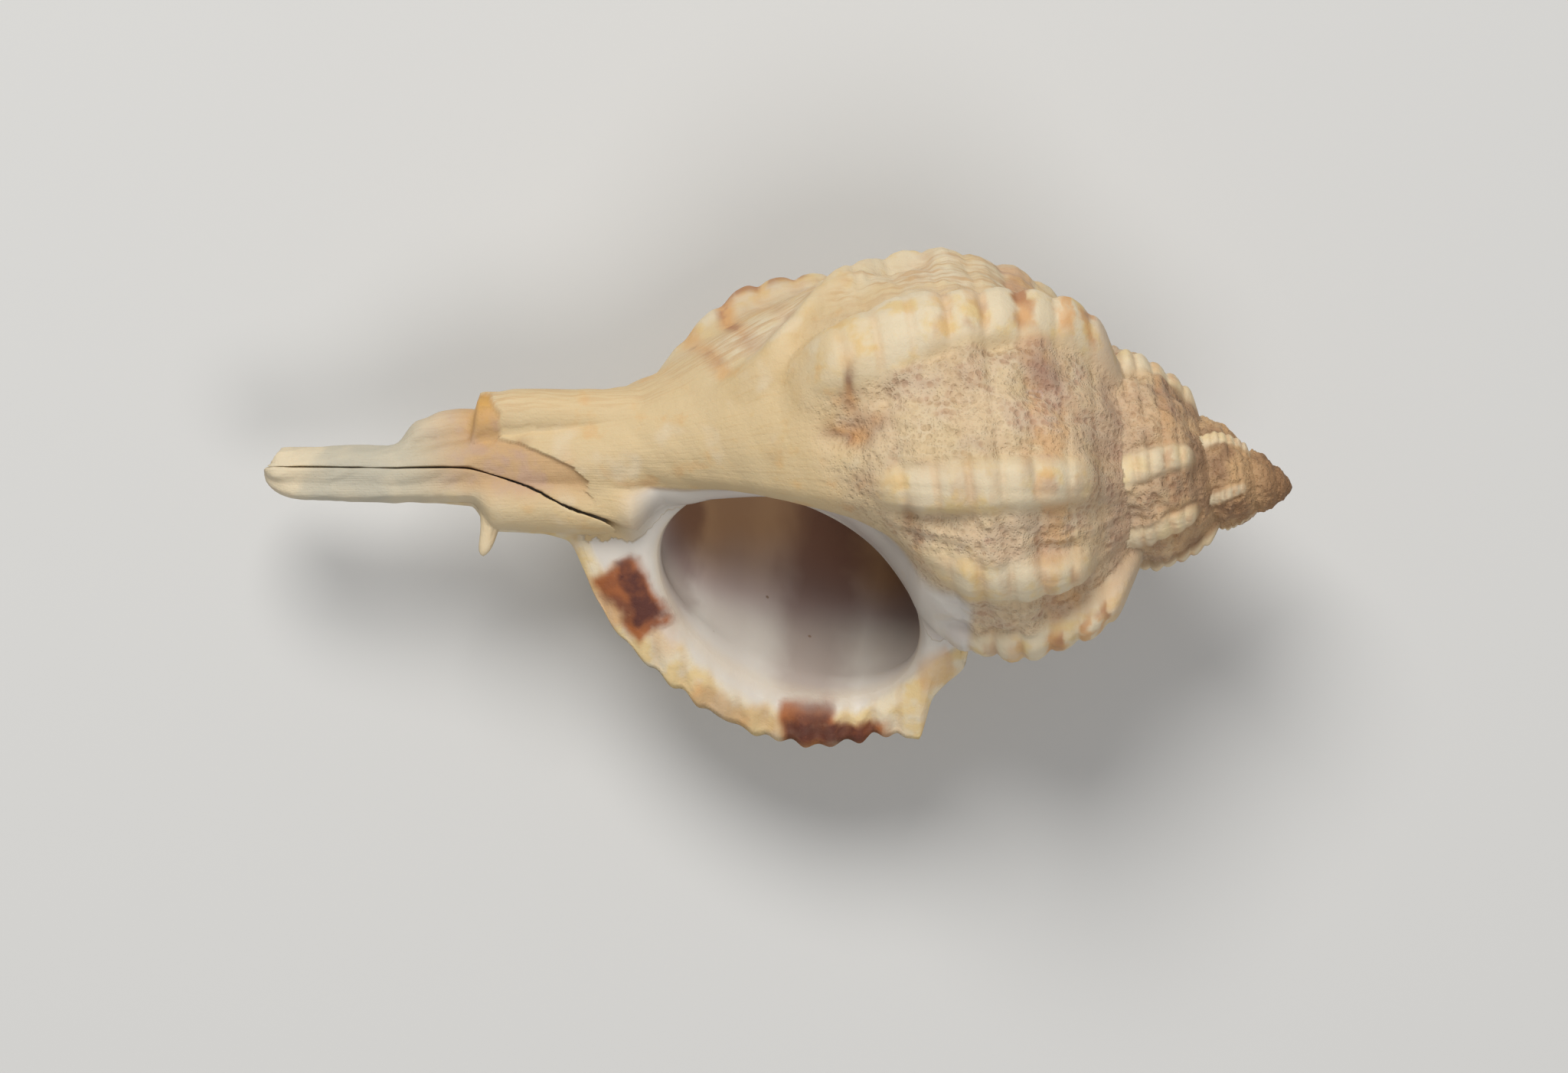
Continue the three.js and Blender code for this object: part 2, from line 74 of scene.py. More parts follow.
# Outline of a varix's crest, as a share of the whorl's periphery radius, and the same on the spire.
CREST_OUTLINE = [(-0.3, 0.36), (-0.15, 0.55), (0, 0.74), (0.15, 0.91), (0.4, 1.02), (1, 1.11),
                 (1.5, 1.06), (2.05, 0.96), (2.45, 0.7), (2.7, 0.44), (3.2, 0.2)]
SPIRE_CREST = [(-0.3, 0.4), (-0.15, 0.58), (0, 0.7), (0.25, 0.84), (0.5, 0.94), (0.75, 1.02),
               (1, 1.08), (1.5, 1.06), (3, 0.8)]
SPIRE_AGES = (1.02, 1.3)
SUTURE_FILL = 0.09  # rounding where two whorls meet, as a share of the periphery radius
COLUMELLA = [(19.3, 9.9), (21, 10), (22.3, 9.3), (23.4, 7.4), (25.3, 4.9), (28, 2.95), (31.7, 2.1),
             (34.7, 2.25), (36.7, 2.6), (38.5, 2.5), (43, 2.1), (62, 1.5)]
LIP_EDGE = [(18.6, 11), (19.6, 12.7), (20.7, 13.7), (21.5, 14.7), (21.9, 16.2), (22.3, 17.3),
            (23, 17.2), (24.5, 17), (28.4, 17.7), (31.7, 17.2), (34.5, 16.1), (37.2, 14.2),
            (39.1, 12.6), (40.9, 10.5), (41.8, 8.8), (42.7, 6.6), (43.7, 4.7), (45.5, 4.1),
            (48.3, 3.9), (49.4, 2.4), (62, 1)]
LIP_BACK = 13.0  # degrees over which the lip varix falls away behind its crest
# Where the mouth's inner wall takes over from the whorl: degrees below the front, and a.
MOUTH_TURN, MOUTH_TOP = (12, 55), (19.3, 22.5)
LIP_TOP = (18, 19.4)

# Varices and ribs. Each has its share of the full crest, where it has risen and where it ends, its
# fall ahead and behind in degrees, how flat its top is, how far it follows RIDGE_LEAN, the degrees
# it swings back down the neck, and how much wider its front gets below the periphery.
VARIX = (1.0, 0.1, 2.15, 6.8, 11.0, 3.0, 1.0, 0.0, 0.0)
BLOCK_VARIX = (1.0, 0.1, 2.25, 7.2, 11.0, 3.4, 1.0, 0.0, 0.9)
LOW_VARIX = (1.0, 0.1, 2.15, 8.5, 16.0, 3.0, 1.0, 0.0, 0.0)
FLANGED_VARIX = (1.0, 0.1, 3.2, 6.5, 13.0, 2.6, 1.0, 0.0, 0.0)
LEVEL_RIB = (0.68, 0.42, 2.0, 9.0, 10.0, 2.4, 0.35, 0.0, 0.0)
TURNED_RIB = (0.68, 0.42, 2.0, 9.0, 10.0, 2.4, -0.1, 0.0, 0.0)
SPIRE_RIB = (0.82, 0.35, 2.0, 9.0, 10.0, 2.4, 1.0, 0.0, 0.0)
BACK_RIB = (0.95, 0.3, 2.0, 9.0, 10.0, 2.0, 1.0, 0.0, 0.0)
LOW_RIB = (0.5, 0.3, 2.7, 7.0, 9.0, 2.0, 1.0, -28.0, 0.0)
LOW_RIB_AGE = 0.49
RIDGE_RISE, RIDGE_FADE = 0.35, 0.5  # how long a crest takes to rise, and to end, along the outline
SWING, WIDENING = (1.4, 2.4), (1.0, 1.4)  # where a ridge swings, and where its front widens
RIDGES = [(0.165, BACK_RIB), (0.275, BACK_RIB), (0.365, FLANGED_VARIX), (LOW_RIB_AGE, LOW_RIB),
          (0.607, BLOCK_VARIX), (0.753, LEVEL_RIB), (0.838, TURNED_RIB), (0.94, LOW_VARIX),
          (1.12, SPIRE_RIB), (1.27, VARIX), (1.41, SPIRE_RIB), (1.54, VARIX),
          (1.72, SPIRE_RIB), (1.84, SPIRE_RIB), (1.97, VARIX), (2.12, SPIRE_RIB), (2.28, VARIX),
          (2.44, SPIRE_RIB), (2.6, VARIX), (2.78, SPIRE_RIB), (2.97, VARIX)]
RIDGE_LEAN = [(-0.3, 18), (0, 14), (1, 0), (1.8, -12), (3, -22), (5, -25)]

CANAL_RADIUS = [(36, 1), (40, 2.6), (44, 2.35), (49, 2), (54, 1.75), (62, 1.65)]
# Round ridges beside the canal: angle, then rows of a, distance from the axis and radius.
FLANGE = (-92, [(41, 2.4, 1.95), (44, 2.3, 1.95), (48, 1.95, 1.95), (49.6, 0.4, 1.5), (62, 0, 0.5)])
OLD_CANAL = (78, [(36, 2.2, 1.5), (40, 2.9, 1.5), (48.9, 3, 1.45), (49.6, 0.8, 1), (62, 0, 0.5)])
OLD_EDGE = (95, [(44, 1, 1.2), (50, 2.6, 1.2), (52.6, 2.2, 1.1), (54.4, 0.5, 1), (62, 0, 0.5)])
FLAP = (-78, [(35, 0.6, 1), (37.2, 2.4, 1.7), (39.5, 2.7, 1.7), (42, 1.6, 1.6), (46, 0.5, 1.2),
              (62, 0, 0.5)])
CANAL_SIDES = (FLANGE, OLD_CANAL, OLD_EDGE, FLAP)
CANAL_BLEND, NECK_BLEND = 0.4, 1.0  # rounding between these ridges, and between canal and whorl
NECK_RUN = 2  # how far the canal takes, each side of its start, to reach its full radius
TIP_SLANT, TIP_ROUND, TIP_WEAR = 0.8, 0.4, 2.2  # the tip: cut slanting above, worn round below

# The hollow: age, centre a, centre radius, half height, half width.
HOLLOW = [(-0.04, 30.3, 7.45, 7.8, 5.15), (0, 30.3, 7.45, 7.8, 5.15), (0.08, 29.3, 7.3, 8.5, 4.9),
          (0.25, 26.7, 6.9, 8.4, 4.5), (0.5, 23, 6.4, 7.4, 4.1), (0.75, 19.6, 5.9, 6.2, 3.6),
          (1, 16.2, 4.9, 5.2, 2.9), (1.3, 13, 3.9, 3.4, 1.8), (1.36, 12.6, 3.8, 1.2, 0.7)]
HOLLOW_LEAN = -0.29
MOUTH_FLARE = [(-0.04, 3.2), (-0.01, 2), (0, 1.5), (0.02, 0.85), (0.05, 0.35), (0.1, 0), (2, 0)]
SLIT = [(37, 5.6), (39.7, 4.5), (41.2, 3.6), (43.7, 2.7), (46, 1.5), (48.3, 0.6), (50, 0.1),
        (54, -0.1), (63, -0.2)]
SLIT_HALF = [(37, 1.3), (39, 0.8), (40.3, 0.25), (42, 0.03), (45, 0.005), (60, 0.005), (63, 0.03)]
SLIT_FLOOR = -0.8
SLIT_TOP = 9.0
PASSAGE = 0.62  # radius of the passage under the slit
SLIT_LIPS = 0.22  # how far the slit's lips open out
CANAL_SPINE = (48.0, 8.0, 0.8, 2.3, 5.5)  # a, lean, radius, from, to

# The edge of the canal's last coat: angle and a.
SHEET_EDGE = [(-60, 41.8), (-34, 42.3), (-7, 43.1), (15, 45.1), (45, 47.4), (70, 48), (90, 48.7),
              (130, 49.2), (180, 48.5), (265, 48)]
SHEET_STEP = 0.34  # the thickness of that coat

# Markings. Spiral bands: place, half width, strength.
BANDS = [(0.2, 0.025, 0.9), (0.34, 0.03, 1), (0.58, 0.045, 1), (0.91, 0.03, 0.45), (1.12, 0.05, 0.4),
         (1.72, 0.03, 0.8), (1.88, 0.05, 0.9), (2.12, 0.06, 1)]
INNER_BANDS = [(0.5, 0.15, 0.35), (1.3, 0.12, 1), (1.95, 0.06, 0.2), (2.32, 0.05, 0.8)]
# Marks on the lip's face, dark, brown and faint, and painted shade by its spine: start, end (a, radius),
# half width, strength.
LIP_MARKS = [((39.9, 6.8), (38.7, 9.5), 0.68, 1), ((40.2, 6.2), (39.8, 7.2), 0.4, 0.8),
             ((30.3, 16.4), (25.4, 16.7), 0.5, 0.95), ((29.9, 15.6), (28.2, 15.7), 0.3, 0.75)]
LIP_EMBERS_AND_SHADE = [((40.6, 6.6), (39.7, 8), 1.3, 1), ((39.6, 8), (38.5, 10), 1.2, 1),
              ((30.4, 15.3), (28, 15.3), 0.8, 1), ((30.4, 16.6), (25, 16.9), 0.75, 1),
              # Painted shade in the groove beside the lip's spine.
              ((24.6, 16.2), (24.3, 17.2), 0.25, 0.6)]
LIP_STAINS_AND_SHADE = [((41.6, 7), (40.3, 9.6), 0.9, 0.8), ((38.2, 9.8), (37.6, 11.2), 0.5, 0.4),
              ((35.9, 14.2), (33.4, 16.2), 0.55, 0.9), ((33.2, 15.5), (31.8, 15.2), 0.3, 0.6),
              # The last one is painted shade on the lip's face beside the spine.
              ((31.2, 16.2), (24, 17.2), 0.5, 0.6), ((22, 13), (20.6, 12), 0.5, 0.7)]

# Spots outside, brown and purple: real stains, and painted shade in the hollows under the varices. Columns:
# a, angle, half sizes in mm and degrees, strength.
DIRT_AND_SHADE = [(23.1, -19, 0.45, 6, 1), (22.5, -26, 0.3, 5, 0.7), (26.7, 24, 0.35, 7, 1), (26.2, 9, 0.6, 4, 1),
        (27.4, 12, 0.9, 3, 0.8), (25.2, 14, 0.8, 3, 0.5), (16.3, 3, 0.5, 6, 0.5),
        (37.2, -42, 1.6, 5, 0.7), (39.6, -30, 1.2, 4, 0.5), (43.6, 2, 0.5, 14, 0.5),
        (31, 4, 0.35, 4, 0.4), (46.3, 30, 0.6, 9, 0.5)]
# The purple spots lie in the dents under the varices: purple colour with painted shade.
BRUISES_AND_SHADE = [(15.4, 32, 1.2, 7, 1), (26.3, 12, 1.6, 6, 0.9), (14.2, 24, 1.0, 6, 0.6),
           (20.5, 27, 1.0, 4, 0.4), (12, 14, 1.0, 8, 0.5), (26, -8, 1.0, 7, 0.4),
           (16.5, -20, 1.5, 5, 0.4)]
# Dents below the varices: a, angle, half sizes, depth.
DENTS = [(26.6, 10, 1.5, 6, 0.9), (15.6, 25, 2.2, 6, 0.6), (21.5, 20, 3.0, 5, 0.5),
         (11.6, 8, 1.3, 8, 0.5), (14, 35, 1.2, 5, 0.3)]

# Fine sculpture, at its full size on a whorl of this radius.
FULL_RADIUS = 12.0
CORD_PITCH, OLDER_PITCH = 0.21, 0.232  # in places, at the lip and behind it
CORD_FLAT, CORD_RIDGE = 0.16, 0.36  # height on open ground and on a crest
LIP_SCALLOP = 0.34  # depth of the scallops on the lip's outer edge
LIP_FOLD, FOLD_REACH = 1.1, 2.1  # folds in the lip's face, in degrees, and how far in they reach
LIP_SOFTENING, SLIT_SOFTENING = 120, 8  # rounds of smoothing

# Fineness.
ROWS = 460
ROW_SPREAD = (0.42, 0.58, 1.6)  # rows spread evenly, rows that crowd at the apex, and their power
COLUMNS = 420
LIP_FACE_STEPS = 34
HOLLOW_SECTIONS, HOLLOW_POINTS = 200, 110
HOLLOW_CROWDING = 1.3  # above 1, the sections crowd at the mouth
SLIT_SECTIONS = 160
MOST_TRIANGLES = 185000


# -------- small tools
def curve_through(points):
    """A smooth curve through (x, y) points that never overshoots them."""
    x, y = np.array(points, float).T
    step = np.diff(x)
    rise = np.diff(y) / step
    slope = np.zeros(len(x))
    both = rise[:-1] * rise[1:]
    slope[1:-1] = np.where(both > 0, 2 * both / np.where(both > 0, rise[:-1] + rise[1:], 1), 0)

    def value(at):
        at = np.clip(at, x[0], x[-1])
        i = np.clip(np.searchsorted(x, at, side="right") - 1, 0, len(x) - 2)
        s = (at - x[i]) / step[i]
        left = y[i] * (1 + 2 * s) * (1 - s) ** 2 + slope[i] * step[i] * s * (1 - s) ** 2
        return left + y[i + 1] * s * s * (3 - 2 * s) + slope[i + 1] * step[i] * s * s * (s - 1)

    return value


def smoothstep(x, low, high):
    """0 up to low, 1 from high on, and a smooth rise between."""
    s = np.clip((x - low) / (high - low), 0, 1)
    return s * s * (3 - 2 * s)


def lerp(p, q, s):
    """p where s is 0, q where it is 1."""
    return p + (q - p) * s


def soft_spot(a, angle, at, turn, wide, high):
    """1 in the middle of a spot at (at, turn), fading over its half sizes."""
    return np.exp(-(((a - at) / wide) ** 2) - ((angle - turn) / high) ** 2)


def soft_max(p, q, blend):
    """The larger of two radii, with the corner between them rounded over `blend`."""
    overlap = np.maximum(blend - np.abs(p - q), 0) / blend
    return np.maximum(p, q) + overlap * overlap * blend / 4


NOISE_SIZE = 128
noise_table = np.random.default_rng(74).uniform(-1, 1, (NOISE_SIZE, NOISE_SIZE))


def noise(u, v):
    """Smooth noise between -1 and 1, one lump to a unit."""
    i, j = np.floor(u).astype(int), np.floor(v).astype(int)
    s, t = u - i, v - j
    s, t = s * s * (3 - 2 * s), t * t * (3 - 2 * t)
    i, j, i1, j1 = i % NOISE_SIZE, j % NOISE_SIZE, (i + 1) % NOISE_SIZE, (j + 1) % NOISE_SIZE
    top = lerp(noise_table[i, j], noise_table[i1, j], s)
    return lerp(top, lerp(noise_table[i, j1], noise_table[i1, j1], s), t)


periphery_radius = curve_through(PERIPHERY_RADIUS)
periphery_place = curve_through(PERIPHERY_PLACE)
suture_place = curve_through(SUTURE_PLACE)
suture_radius = curve_through(SUTURE_RADIUS)
shoulder_rise = curve_through(SHOULDER_RISE)
base_fall = curve_through(BASE_FALL)
crest_outline = curve_through(CREST_OUTLINE)
spire_crest = curve_through(SPIRE_CREST)
columella = curve_through(COLUMELLA)
lip_edge = curve_through(LIP_EDGE)
ridge_lean = curve_through(RIDGE_LEAN)
canal_radius = curve_through(CANAL_RADIUS)
sheet_edge = curve_through(SHEET_EDGE)
mouth_flare = curve_through(MOUTH_FLARE)
slit_depth = curve_through(SLIT)
slit_half = curve_through(SLIT_HALF)


# -------- the outside
def outline_place(age, a):
    """How far down its own outline a whorl is at a: 0 at the suture, 1 at the periphery."""
    return (a - suture_place(age)) / (periphery_place(age) - suture_place(age))


def whorl_radius(age, a):
    """Radius of one whorl with no ribs."""
    place = outline_place(age, a)
    upper = lerp(suture_radius(age), periphery_radius(age), shoulder_rise(place))
    return np.where(place > 1, periphery_radius(age) * base_fall(place), upper)


def ridge_share(age, place):
    """How much of a full crest stands at each point: 1 on a varix, less on a rib."""
    share = np.zeros_like(place)
    slant, neck = ridge_lean(place), smoothstep(place, *SWING)
    for crest, (full, start, end, lead, trail, flatness, lean, swing, widening) in RIDGES:
        ahead = 360 * (crest - age) - lean * slant - swing * neck
        front = lead * (1 + widening * smoothstep(place, *WIDENING))
        fall = np.exp(-(np.abs(ahead / np.where(ahead > 0, front, trail)) ** flatness))
        along = smoothstep(place, start - RIDGE_RISE, start) * (1 - smoothstep(place, end - RIDGE_FADE, end))
        share = np.maximum(share, full * fall * along)
    return share


def cord_wave(age, place, times=1):
    """Spiral cords: 1 on a cord, 0 between two. They stand wider apart behind the lip."""
    pitch = lerp(CORD_PITCH, OLDER_PITCH, smoothstep(age, 0.02, 0.4))
    return 0.5 + 0.5 * np.cos(2 * math.pi * times * (place - 0.05) / pitch)


def fine_relief(age, place, share):
    """Cords, growth lines and lumps, in mm. They fade out at the suture and on the canal."""
    smooth = smoothstep(place, 1.5, 2.2)  # the neck
    rough = (1 - smoothstep(share, 0.2, 0.6)) * (1 - smooth)  # open ground between the ridges
    wave = 1 - (1 - cord_wave(age, place)) ** 2
    flat_block = 0.75 * smoothstep(place, 1.1, 1.35) * smoothstep(age, 0.5, 0.55)
    flat = CORD_FLAT * (1 - 0.7 * smooth)
    cords = (flat + (CORD_RIDGE - flat) * share * (1 - flat_block)) * (wave - 0.7)
    cords = cords + 0.05 * (1 - smooth) * cord_wave(age, place, 3)
    growth = 0.06 * noise(age * 110, place * 1.5) + 0.04 * noise(age * 330, place * 2)
    growth = growth * (1 - 0.85 * smooth)
    lumps = (0.2 - 0.15 * smooth) * noise(age * 21, place * 2.5)
    lumps = lumps + 0.34 * rough * noise(age * 41, place * 5 + 9)
    lumps = lumps + 0.1 * rough * noise(age * 150, place * 17)
    beside_ridge = smoothstep(share, 0.02, 0.3)
    lumps = lumps - 0.55 * rough * beside_ridge * (0.5 + noise(age * 33, place * 4 + 40))
    fades = smoothstep(place, -0.1, 0.12) * (1 - smoothstep(place, 3.2, 4.2))
    return cords * fades + (growth + lumps) * fades


def ribbed_radius(age, a):
    """Radius of one whorl with its ridges and fine relief, its crest share, and its place."""
    place = outline_place(age, a)
    plain = whorl_radius(age, a)
    share = ridge_share(age, place)
    crest = lerp(crest_outline(place), spire_crest(place), smoothstep(age, *SPIRE_AGES))
    rise = np.maximum(crest * periphery_radius(age) - plain, 0)
    size = np.clip(periphery_radius(age) / FULL_RADIUS, 0, 1) ** 0.7
    radius = plain + share * rise + size * fine_relief(age, place, share)
    return np.where(place > CREST_OUTLINE[0][0], radius, 0), share, place


def offset_round(angle, ridge, a):
    """Radius, in the direction of `angle`, of a round ridge that stands off the axis."""
    centre, rows = ridge
    reach = curve_through([(r[0], r[1]) for r in rows])(a)
    radius = curve_through([(r[0], r[2]) for r in rows])(a)
    turn = np.radians(angle - centre)
    miss = reach * np.sin(turn)
    inside = np.sqrt(np.maximum(radius ** 2 - miss ** 2, 0))
    return np.where((np.cos(turn) < 0) | (np.abs(miss) > radius), 0, reach * np.cos(turn) + inside)


def outside(a, angle):
    """Outer radius, and the crest share, place and age of the whorl that shows there."""
    first_age = (LIP_ANGLE + 360 - angle) / 360
    radius = np.zeros_like(a)
    share, place, shown = np.zeros_like(a), np.zeros_like(a), first_age.copy()
    for k in range(OLDEST + 1):
        age = first_age + k
        r, s, p = ribbed_radius(age, a)
        over = r > radius
        blend = SUTURE_FILL * periphery_radius(age)
        radius = np.where((r > 0) & (radius > 0), soft_max(r, radius, blend), np.maximum(r, radius))
        share, place, shown = np.where(over, s, share), np.where(over, p, place), np.where(over, age, shown)
    in_mouth = smoothstep(-angle, *MOUTH_TURN) * smoothstep(a, *MOUTH_TOP)
    radius = lerp(radius, columella(a), in_mouth)
    share = share * (1 - in_mouth)
    behind_lip = np.exp(-((360 * first_age / LIP_BACK) ** 2))
    scallop = LIP_SCALLOP * (cord_wave(first_age, outline_place(first_age, a)) - 0.5)
    scallop = scallop * (1 + 0.6 * noise(a / 1.9, 0 * a + 60)) + 0.12 * noise(a / 0.7, 0 * a + 90)
    scallop = scallop * (1 - smoothstep(a, 41, 44)) * smoothstep(a, 22.6, 24)
    edge = (lip_edge(a) + scallop) * smoothstep(a, *LIP_TOP)
    radius = lerp(radius, np.maximum(radius, edge), behind_lip)
    share = np.maximum(share, behind_lip * smoothstep(a, 19, 20))
    turn = np.radians(angle)
    canal = canal_radius(a) + 0.12 * noise(3 + 2 * np.cos(turn), a / 3 + 2 * np.sin(turn) + 20)
    uneven = 0.09 * noise(3 + 3 * np.cos(turn), a / 0.9 + 3 * np.sin(turn) + 50)
    for ridge in CANAL_SIDES:
        both = np.maximum(offset_round(angle, ridge, a), offset_round(angle - 360, ridge, a))
        canal = soft_max(canal, both, CANAL_BLEND)
    canal = (canal + uneven) * smoothstep(a, CANAL_START - NECK_RUN, CANAL_START + NECK_RUN)
    radius = np.where(a > CANAL_START - NECK_RUN, soft_max(radius, canal, NECK_BLEND), radius)
    radius = radius - SHEET_STEP * beyond_sheet(a, angle)
    for *spot, depth in DENTS:
        radius = radius - depth * soft_spot(a, angle, *spot)
    high, low = np.maximum(np.sin(turn), 0), np.maximum(-np.sin(turn), 0)
    tip = np.clip((LENGTH - TIP_SLANT * high - a) / (TIP_ROUND + TIP_WEAR * low), 0, 1)
    return radius * np.sqrt(np.clip(1 - (1 - tip) ** 2, 0, 1)), share, place, shown


def beyond_sheet(a, angle):
    """1 on the canal's older wall, past the edge of its last coat."""
    edge = sheet_edge(angle) + 0.25 * noise(angle / 11, 0 * a) + 0.1 * noise(angle / 4, 0 * a + 5)
    reach = smoothstep(angle, -60, -35) * (1 - smoothstep(angle, 170, 220))
    return smoothstep(a, edge, edge + 0.22) * reach


def axis_bend(a):
    """How far the axis hangs below a straight line at a, its tilt, and how far it bends back."""
    lean = np.maximum(1 - a / SPIRE_HEIGHT, 0)
    down = np.maximum(a - SAG_START, 0) / (LENGTH - SAG_START)
    back = np.maximum(a - CANAL_START, 0) / (LENGTH - CANAL_START)
    drop = math.tan(SPIRE_TILT) * SPIRE_HEIGHT * lean ** SPIRE_CURVE + CANAL_SAG * np.minimum(2 * down, 1)
    return drop, SPIRE_TILT * np.minimum(2 * lean, 1), CANAL_RECURVE * back ** 2


def to_model(a, angle, radius):
    """A point of the growth frame in the model's frame, in mm."""
    drop, tilt, back = axis_bend(a)
    up = radius * np.sin(np.radians(angle))
    out = radius * np.cos(np.radians(angle))
    return laid_down(np.stack([-a + up * np.sin(tilt), up - drop, out - back], axis=-1))


def laid_down(point):
    """Turns points to the resting pitch and moves them into the model's frame."""
    c, s = math.cos(REST_PITCH), math.sin(REST_PITCH)
    x, y, z = point[..., 0], point[..., 1], point[..., 2]
    return np.stack([x * c + z * s, y, -x * s + z * c], axis=-1) + REST_SHIFT


def from_model(point):
    """The growth frame's a, angle and radius of points in the model's frame, in mm."""
    p = point - REST_SHIFT
    c, s = math.cos(REST_PITCH), math.sin(REST_PITCH)
    x, y, z = p[:, 0] * c - p[:, 2] * s, p[:, 1], p[:, 0] * s + p[:, 2] * c
    a = -x
    for _ in range(4):  # each round brings a closer, as the bend itself depends on a
        drop, tilt = axis_bend(a)[:2]
        up = y + drop
        a = np.clip(-x + up * np.sin(tilt), 0, LENGTH)
    out = z + axis_bend(a)[2]
    angle = np.degrees(np.arctan2(up, out))
    angle = np.where(angle < LIP_ANGLE, angle + 360, angle)
    return a, angle, np.hypot(up, out)


# -------- closed bodies
def closed_body(name, rings, start, end):
    """A mesh object from rings of points (rows, width, 3) in mm, closed by a point at each end."""
    rows, width, _ = rings.shape
    points = np.concatenate([start[None], rings.reshape(-1, 3), end[None]])
    i, j = np.meshgrid(np.arange(rows - 1), np.arange(width), indexing="ij")

    def at(i, j):
        return 1 + i * width + j % width

    quads = np.stack([at(i, j), at(i, j + 1), at(i + 1, j + 1), at(i + 1, j)], -1).reshape(-1, 4)
    last = len(points) - 1
    caps = [(0, at(0, k + 1), at(0, k)) for k in range(width)]
    caps += [(last, at(rows - 1, k), at(rows - 1, k + 1)) for k in range(width)]
    mesh = bpy.data.meshes.new(name)
    mesh.from_pydata((points * MM).tolist(), [], quads.tolist() + caps)
    mesh.update()
    piece = bpy.data.objects.new(name, mesh)
    bpy.context.collection.objects.link(piece)
    tidy_mesh(piece)
    return piece


def tidy_mesh(piece, weld=2e-6):
    """Welds equal points, drops collapsed faces and turns every face outwards."""
    bm = bmesh.new()
    bm.from_mesh(piece.data)
    bmesh.ops.remove_doubles(bm, verts=bm.verts, dist=weld)
    bmesh.ops.triangulate(bm, faces=bm.faces)
    bmesh.ops.recalc_face_normals(bm, faces=bm.faces)
    if bm.calc_volume(signed=True) < 0:
        bmesh.ops.reverse_faces(bm, faces=bm.faces)
    bm.to_mesh(piece.data)
    bm.free()


def body():
    """The shell with no hollow: rings round the axis, each closed by the lip's face."""
    s = np.arange(1, ROWS) / ROWS
    even, crowded, power = ROW_SPREAD
    a = LENGTH * (even * s + crowded * s ** power)
    sweep = 360 - LIP_SLOPE
    angles = LIP_ANGLE + sweep * np.arange(COLUMNS + 1) / COLUMNS
    grid_a, grid_angle = np.meshgrid(a, angles, indexing="ij")
    radius = outside(grid_a, grid_angle)[0]
    rings = to_model(grid_a, grid_angle, radius)
    # The lip's face runs from the crest in to the columella.
    s = (np.arange(1, LIP_FACE_STEPS) / LIP_FACE_STEPS)[None, :]
    crest, inner = radius[:, -1:], radius[:, :1]
    face_a = np.repeat(a[:, None], s.shape[1], axis=1)
    face_radius = lerp(crest, inner, s)
    depth = crest - face_radius
    slope = LIP_SLOPE * (1 - s) ** 2
    at_lip = np.zeros_like(face_a)
    folds = LIP_FOLD * (cord_wave(at_lip, outline_place(at_lip, face_a)) - 0.5)
    folds = folds * np.exp(-((depth / FOLD_REACH) ** 2)) * smoothstep(crest - inner, 0.5, 3)
    folds = folds * smoothstep(face_a, 22.5, 24)
    face = to_model(face_a, LIP_ANGLE - slope + folds, face_radius)
    rings = np.concatenate([rings, face], axis=1)
    ends = to_model(np.array([0.0, LENGTH]), np.zeros(2), np.zeros(2))
    return closed_body("shell_body", rings, ends[0], ends[1])


def hollow():
    """The hollow behind the mouth: oval sections that follow the whorl back."""
    first, last = HOLLOW[0][0], HOLLOW[-1][0]
    age = first + (last - first) * (np.arange(HOLLOW_SECTIONS + 1) / HOLLOW_SECTIONS) ** HOLLOW_CROWDING
    values = [curve_through([(row[0], row[k]) for row in HOLLOW])(age)[:, None] for k in (1, 2, 3, 4)]
    centre_a, centre_radius, half_height, half_width = values
    turn = (2 * math.pi * np.arange(HOLLOW_POINTS) / HOLLOW_POINTS)[None, :]
    outward = np.maximum(np.sin(turn), 0) ** 0.5 * mouth_flare(age)[:, None]
    a = centre_a + (half_height + 0.5 * outward) * np.cos(turn)
    radius = centre_radius + HOLLOW_LEAN * (a - centre_a) + half_width * np.sin(turn) + outward
    angle = LIP_ANGLE - 360 * age[:, None] + 0 * a
    rings = to_model(a, angle, radius)
    ends = to_model(centre_a[[0, -1], 0], LIP_ANGLE - 360 * age[[0, -1]], centre_radius[[0, -1], 0])
    return closed_body("shell_hollow", rings, ends[0], ends[1])


def slit():
    """The canal's passage: a rounded groove, open to the mouth's side through a narrow slit."""
    a = np.linspace(SLIT[0][0], SLIT[-1][0], SLIT_SECTIONS)
    middle = to_model(a, np.zeros_like(a), np.zeros_like(a))
    turns = np.radians(np.linspace(-235, 55, 15))
    rings = []
    for i in range(len(a)):
        half, top = slit_half(a[i]), float(canal_radius(a[i]))
        round_half = max(PASSAGE, half)
        wide = half + SLIT_LIPS * float(smoothstep(a[i], 43, 46))
        ring = [(round_half * math.cos(t), SLIT_FLOOR + PASSAGE + PASSAGE * math.sin(t)) for t in turns]
        right = [(half, 1.2 * PASSAGE + 0.1), (half, 0.78 * top), (wide, top + 0.05), (wide, SLIT_TOP)]
        ring += right + [(-y, z) for y, z in reversed(right)]
        x, across, up = middle[i][0], middle[i][1] - slit_depth(a[i]), middle[i][2]
        rings.append([(x, across + y, up + z) for y, z in ring])
    rings = np.array(rings)
    return closed_body("shell_slit", rings, rings[0].mean(0), rings[-1].mean(0))


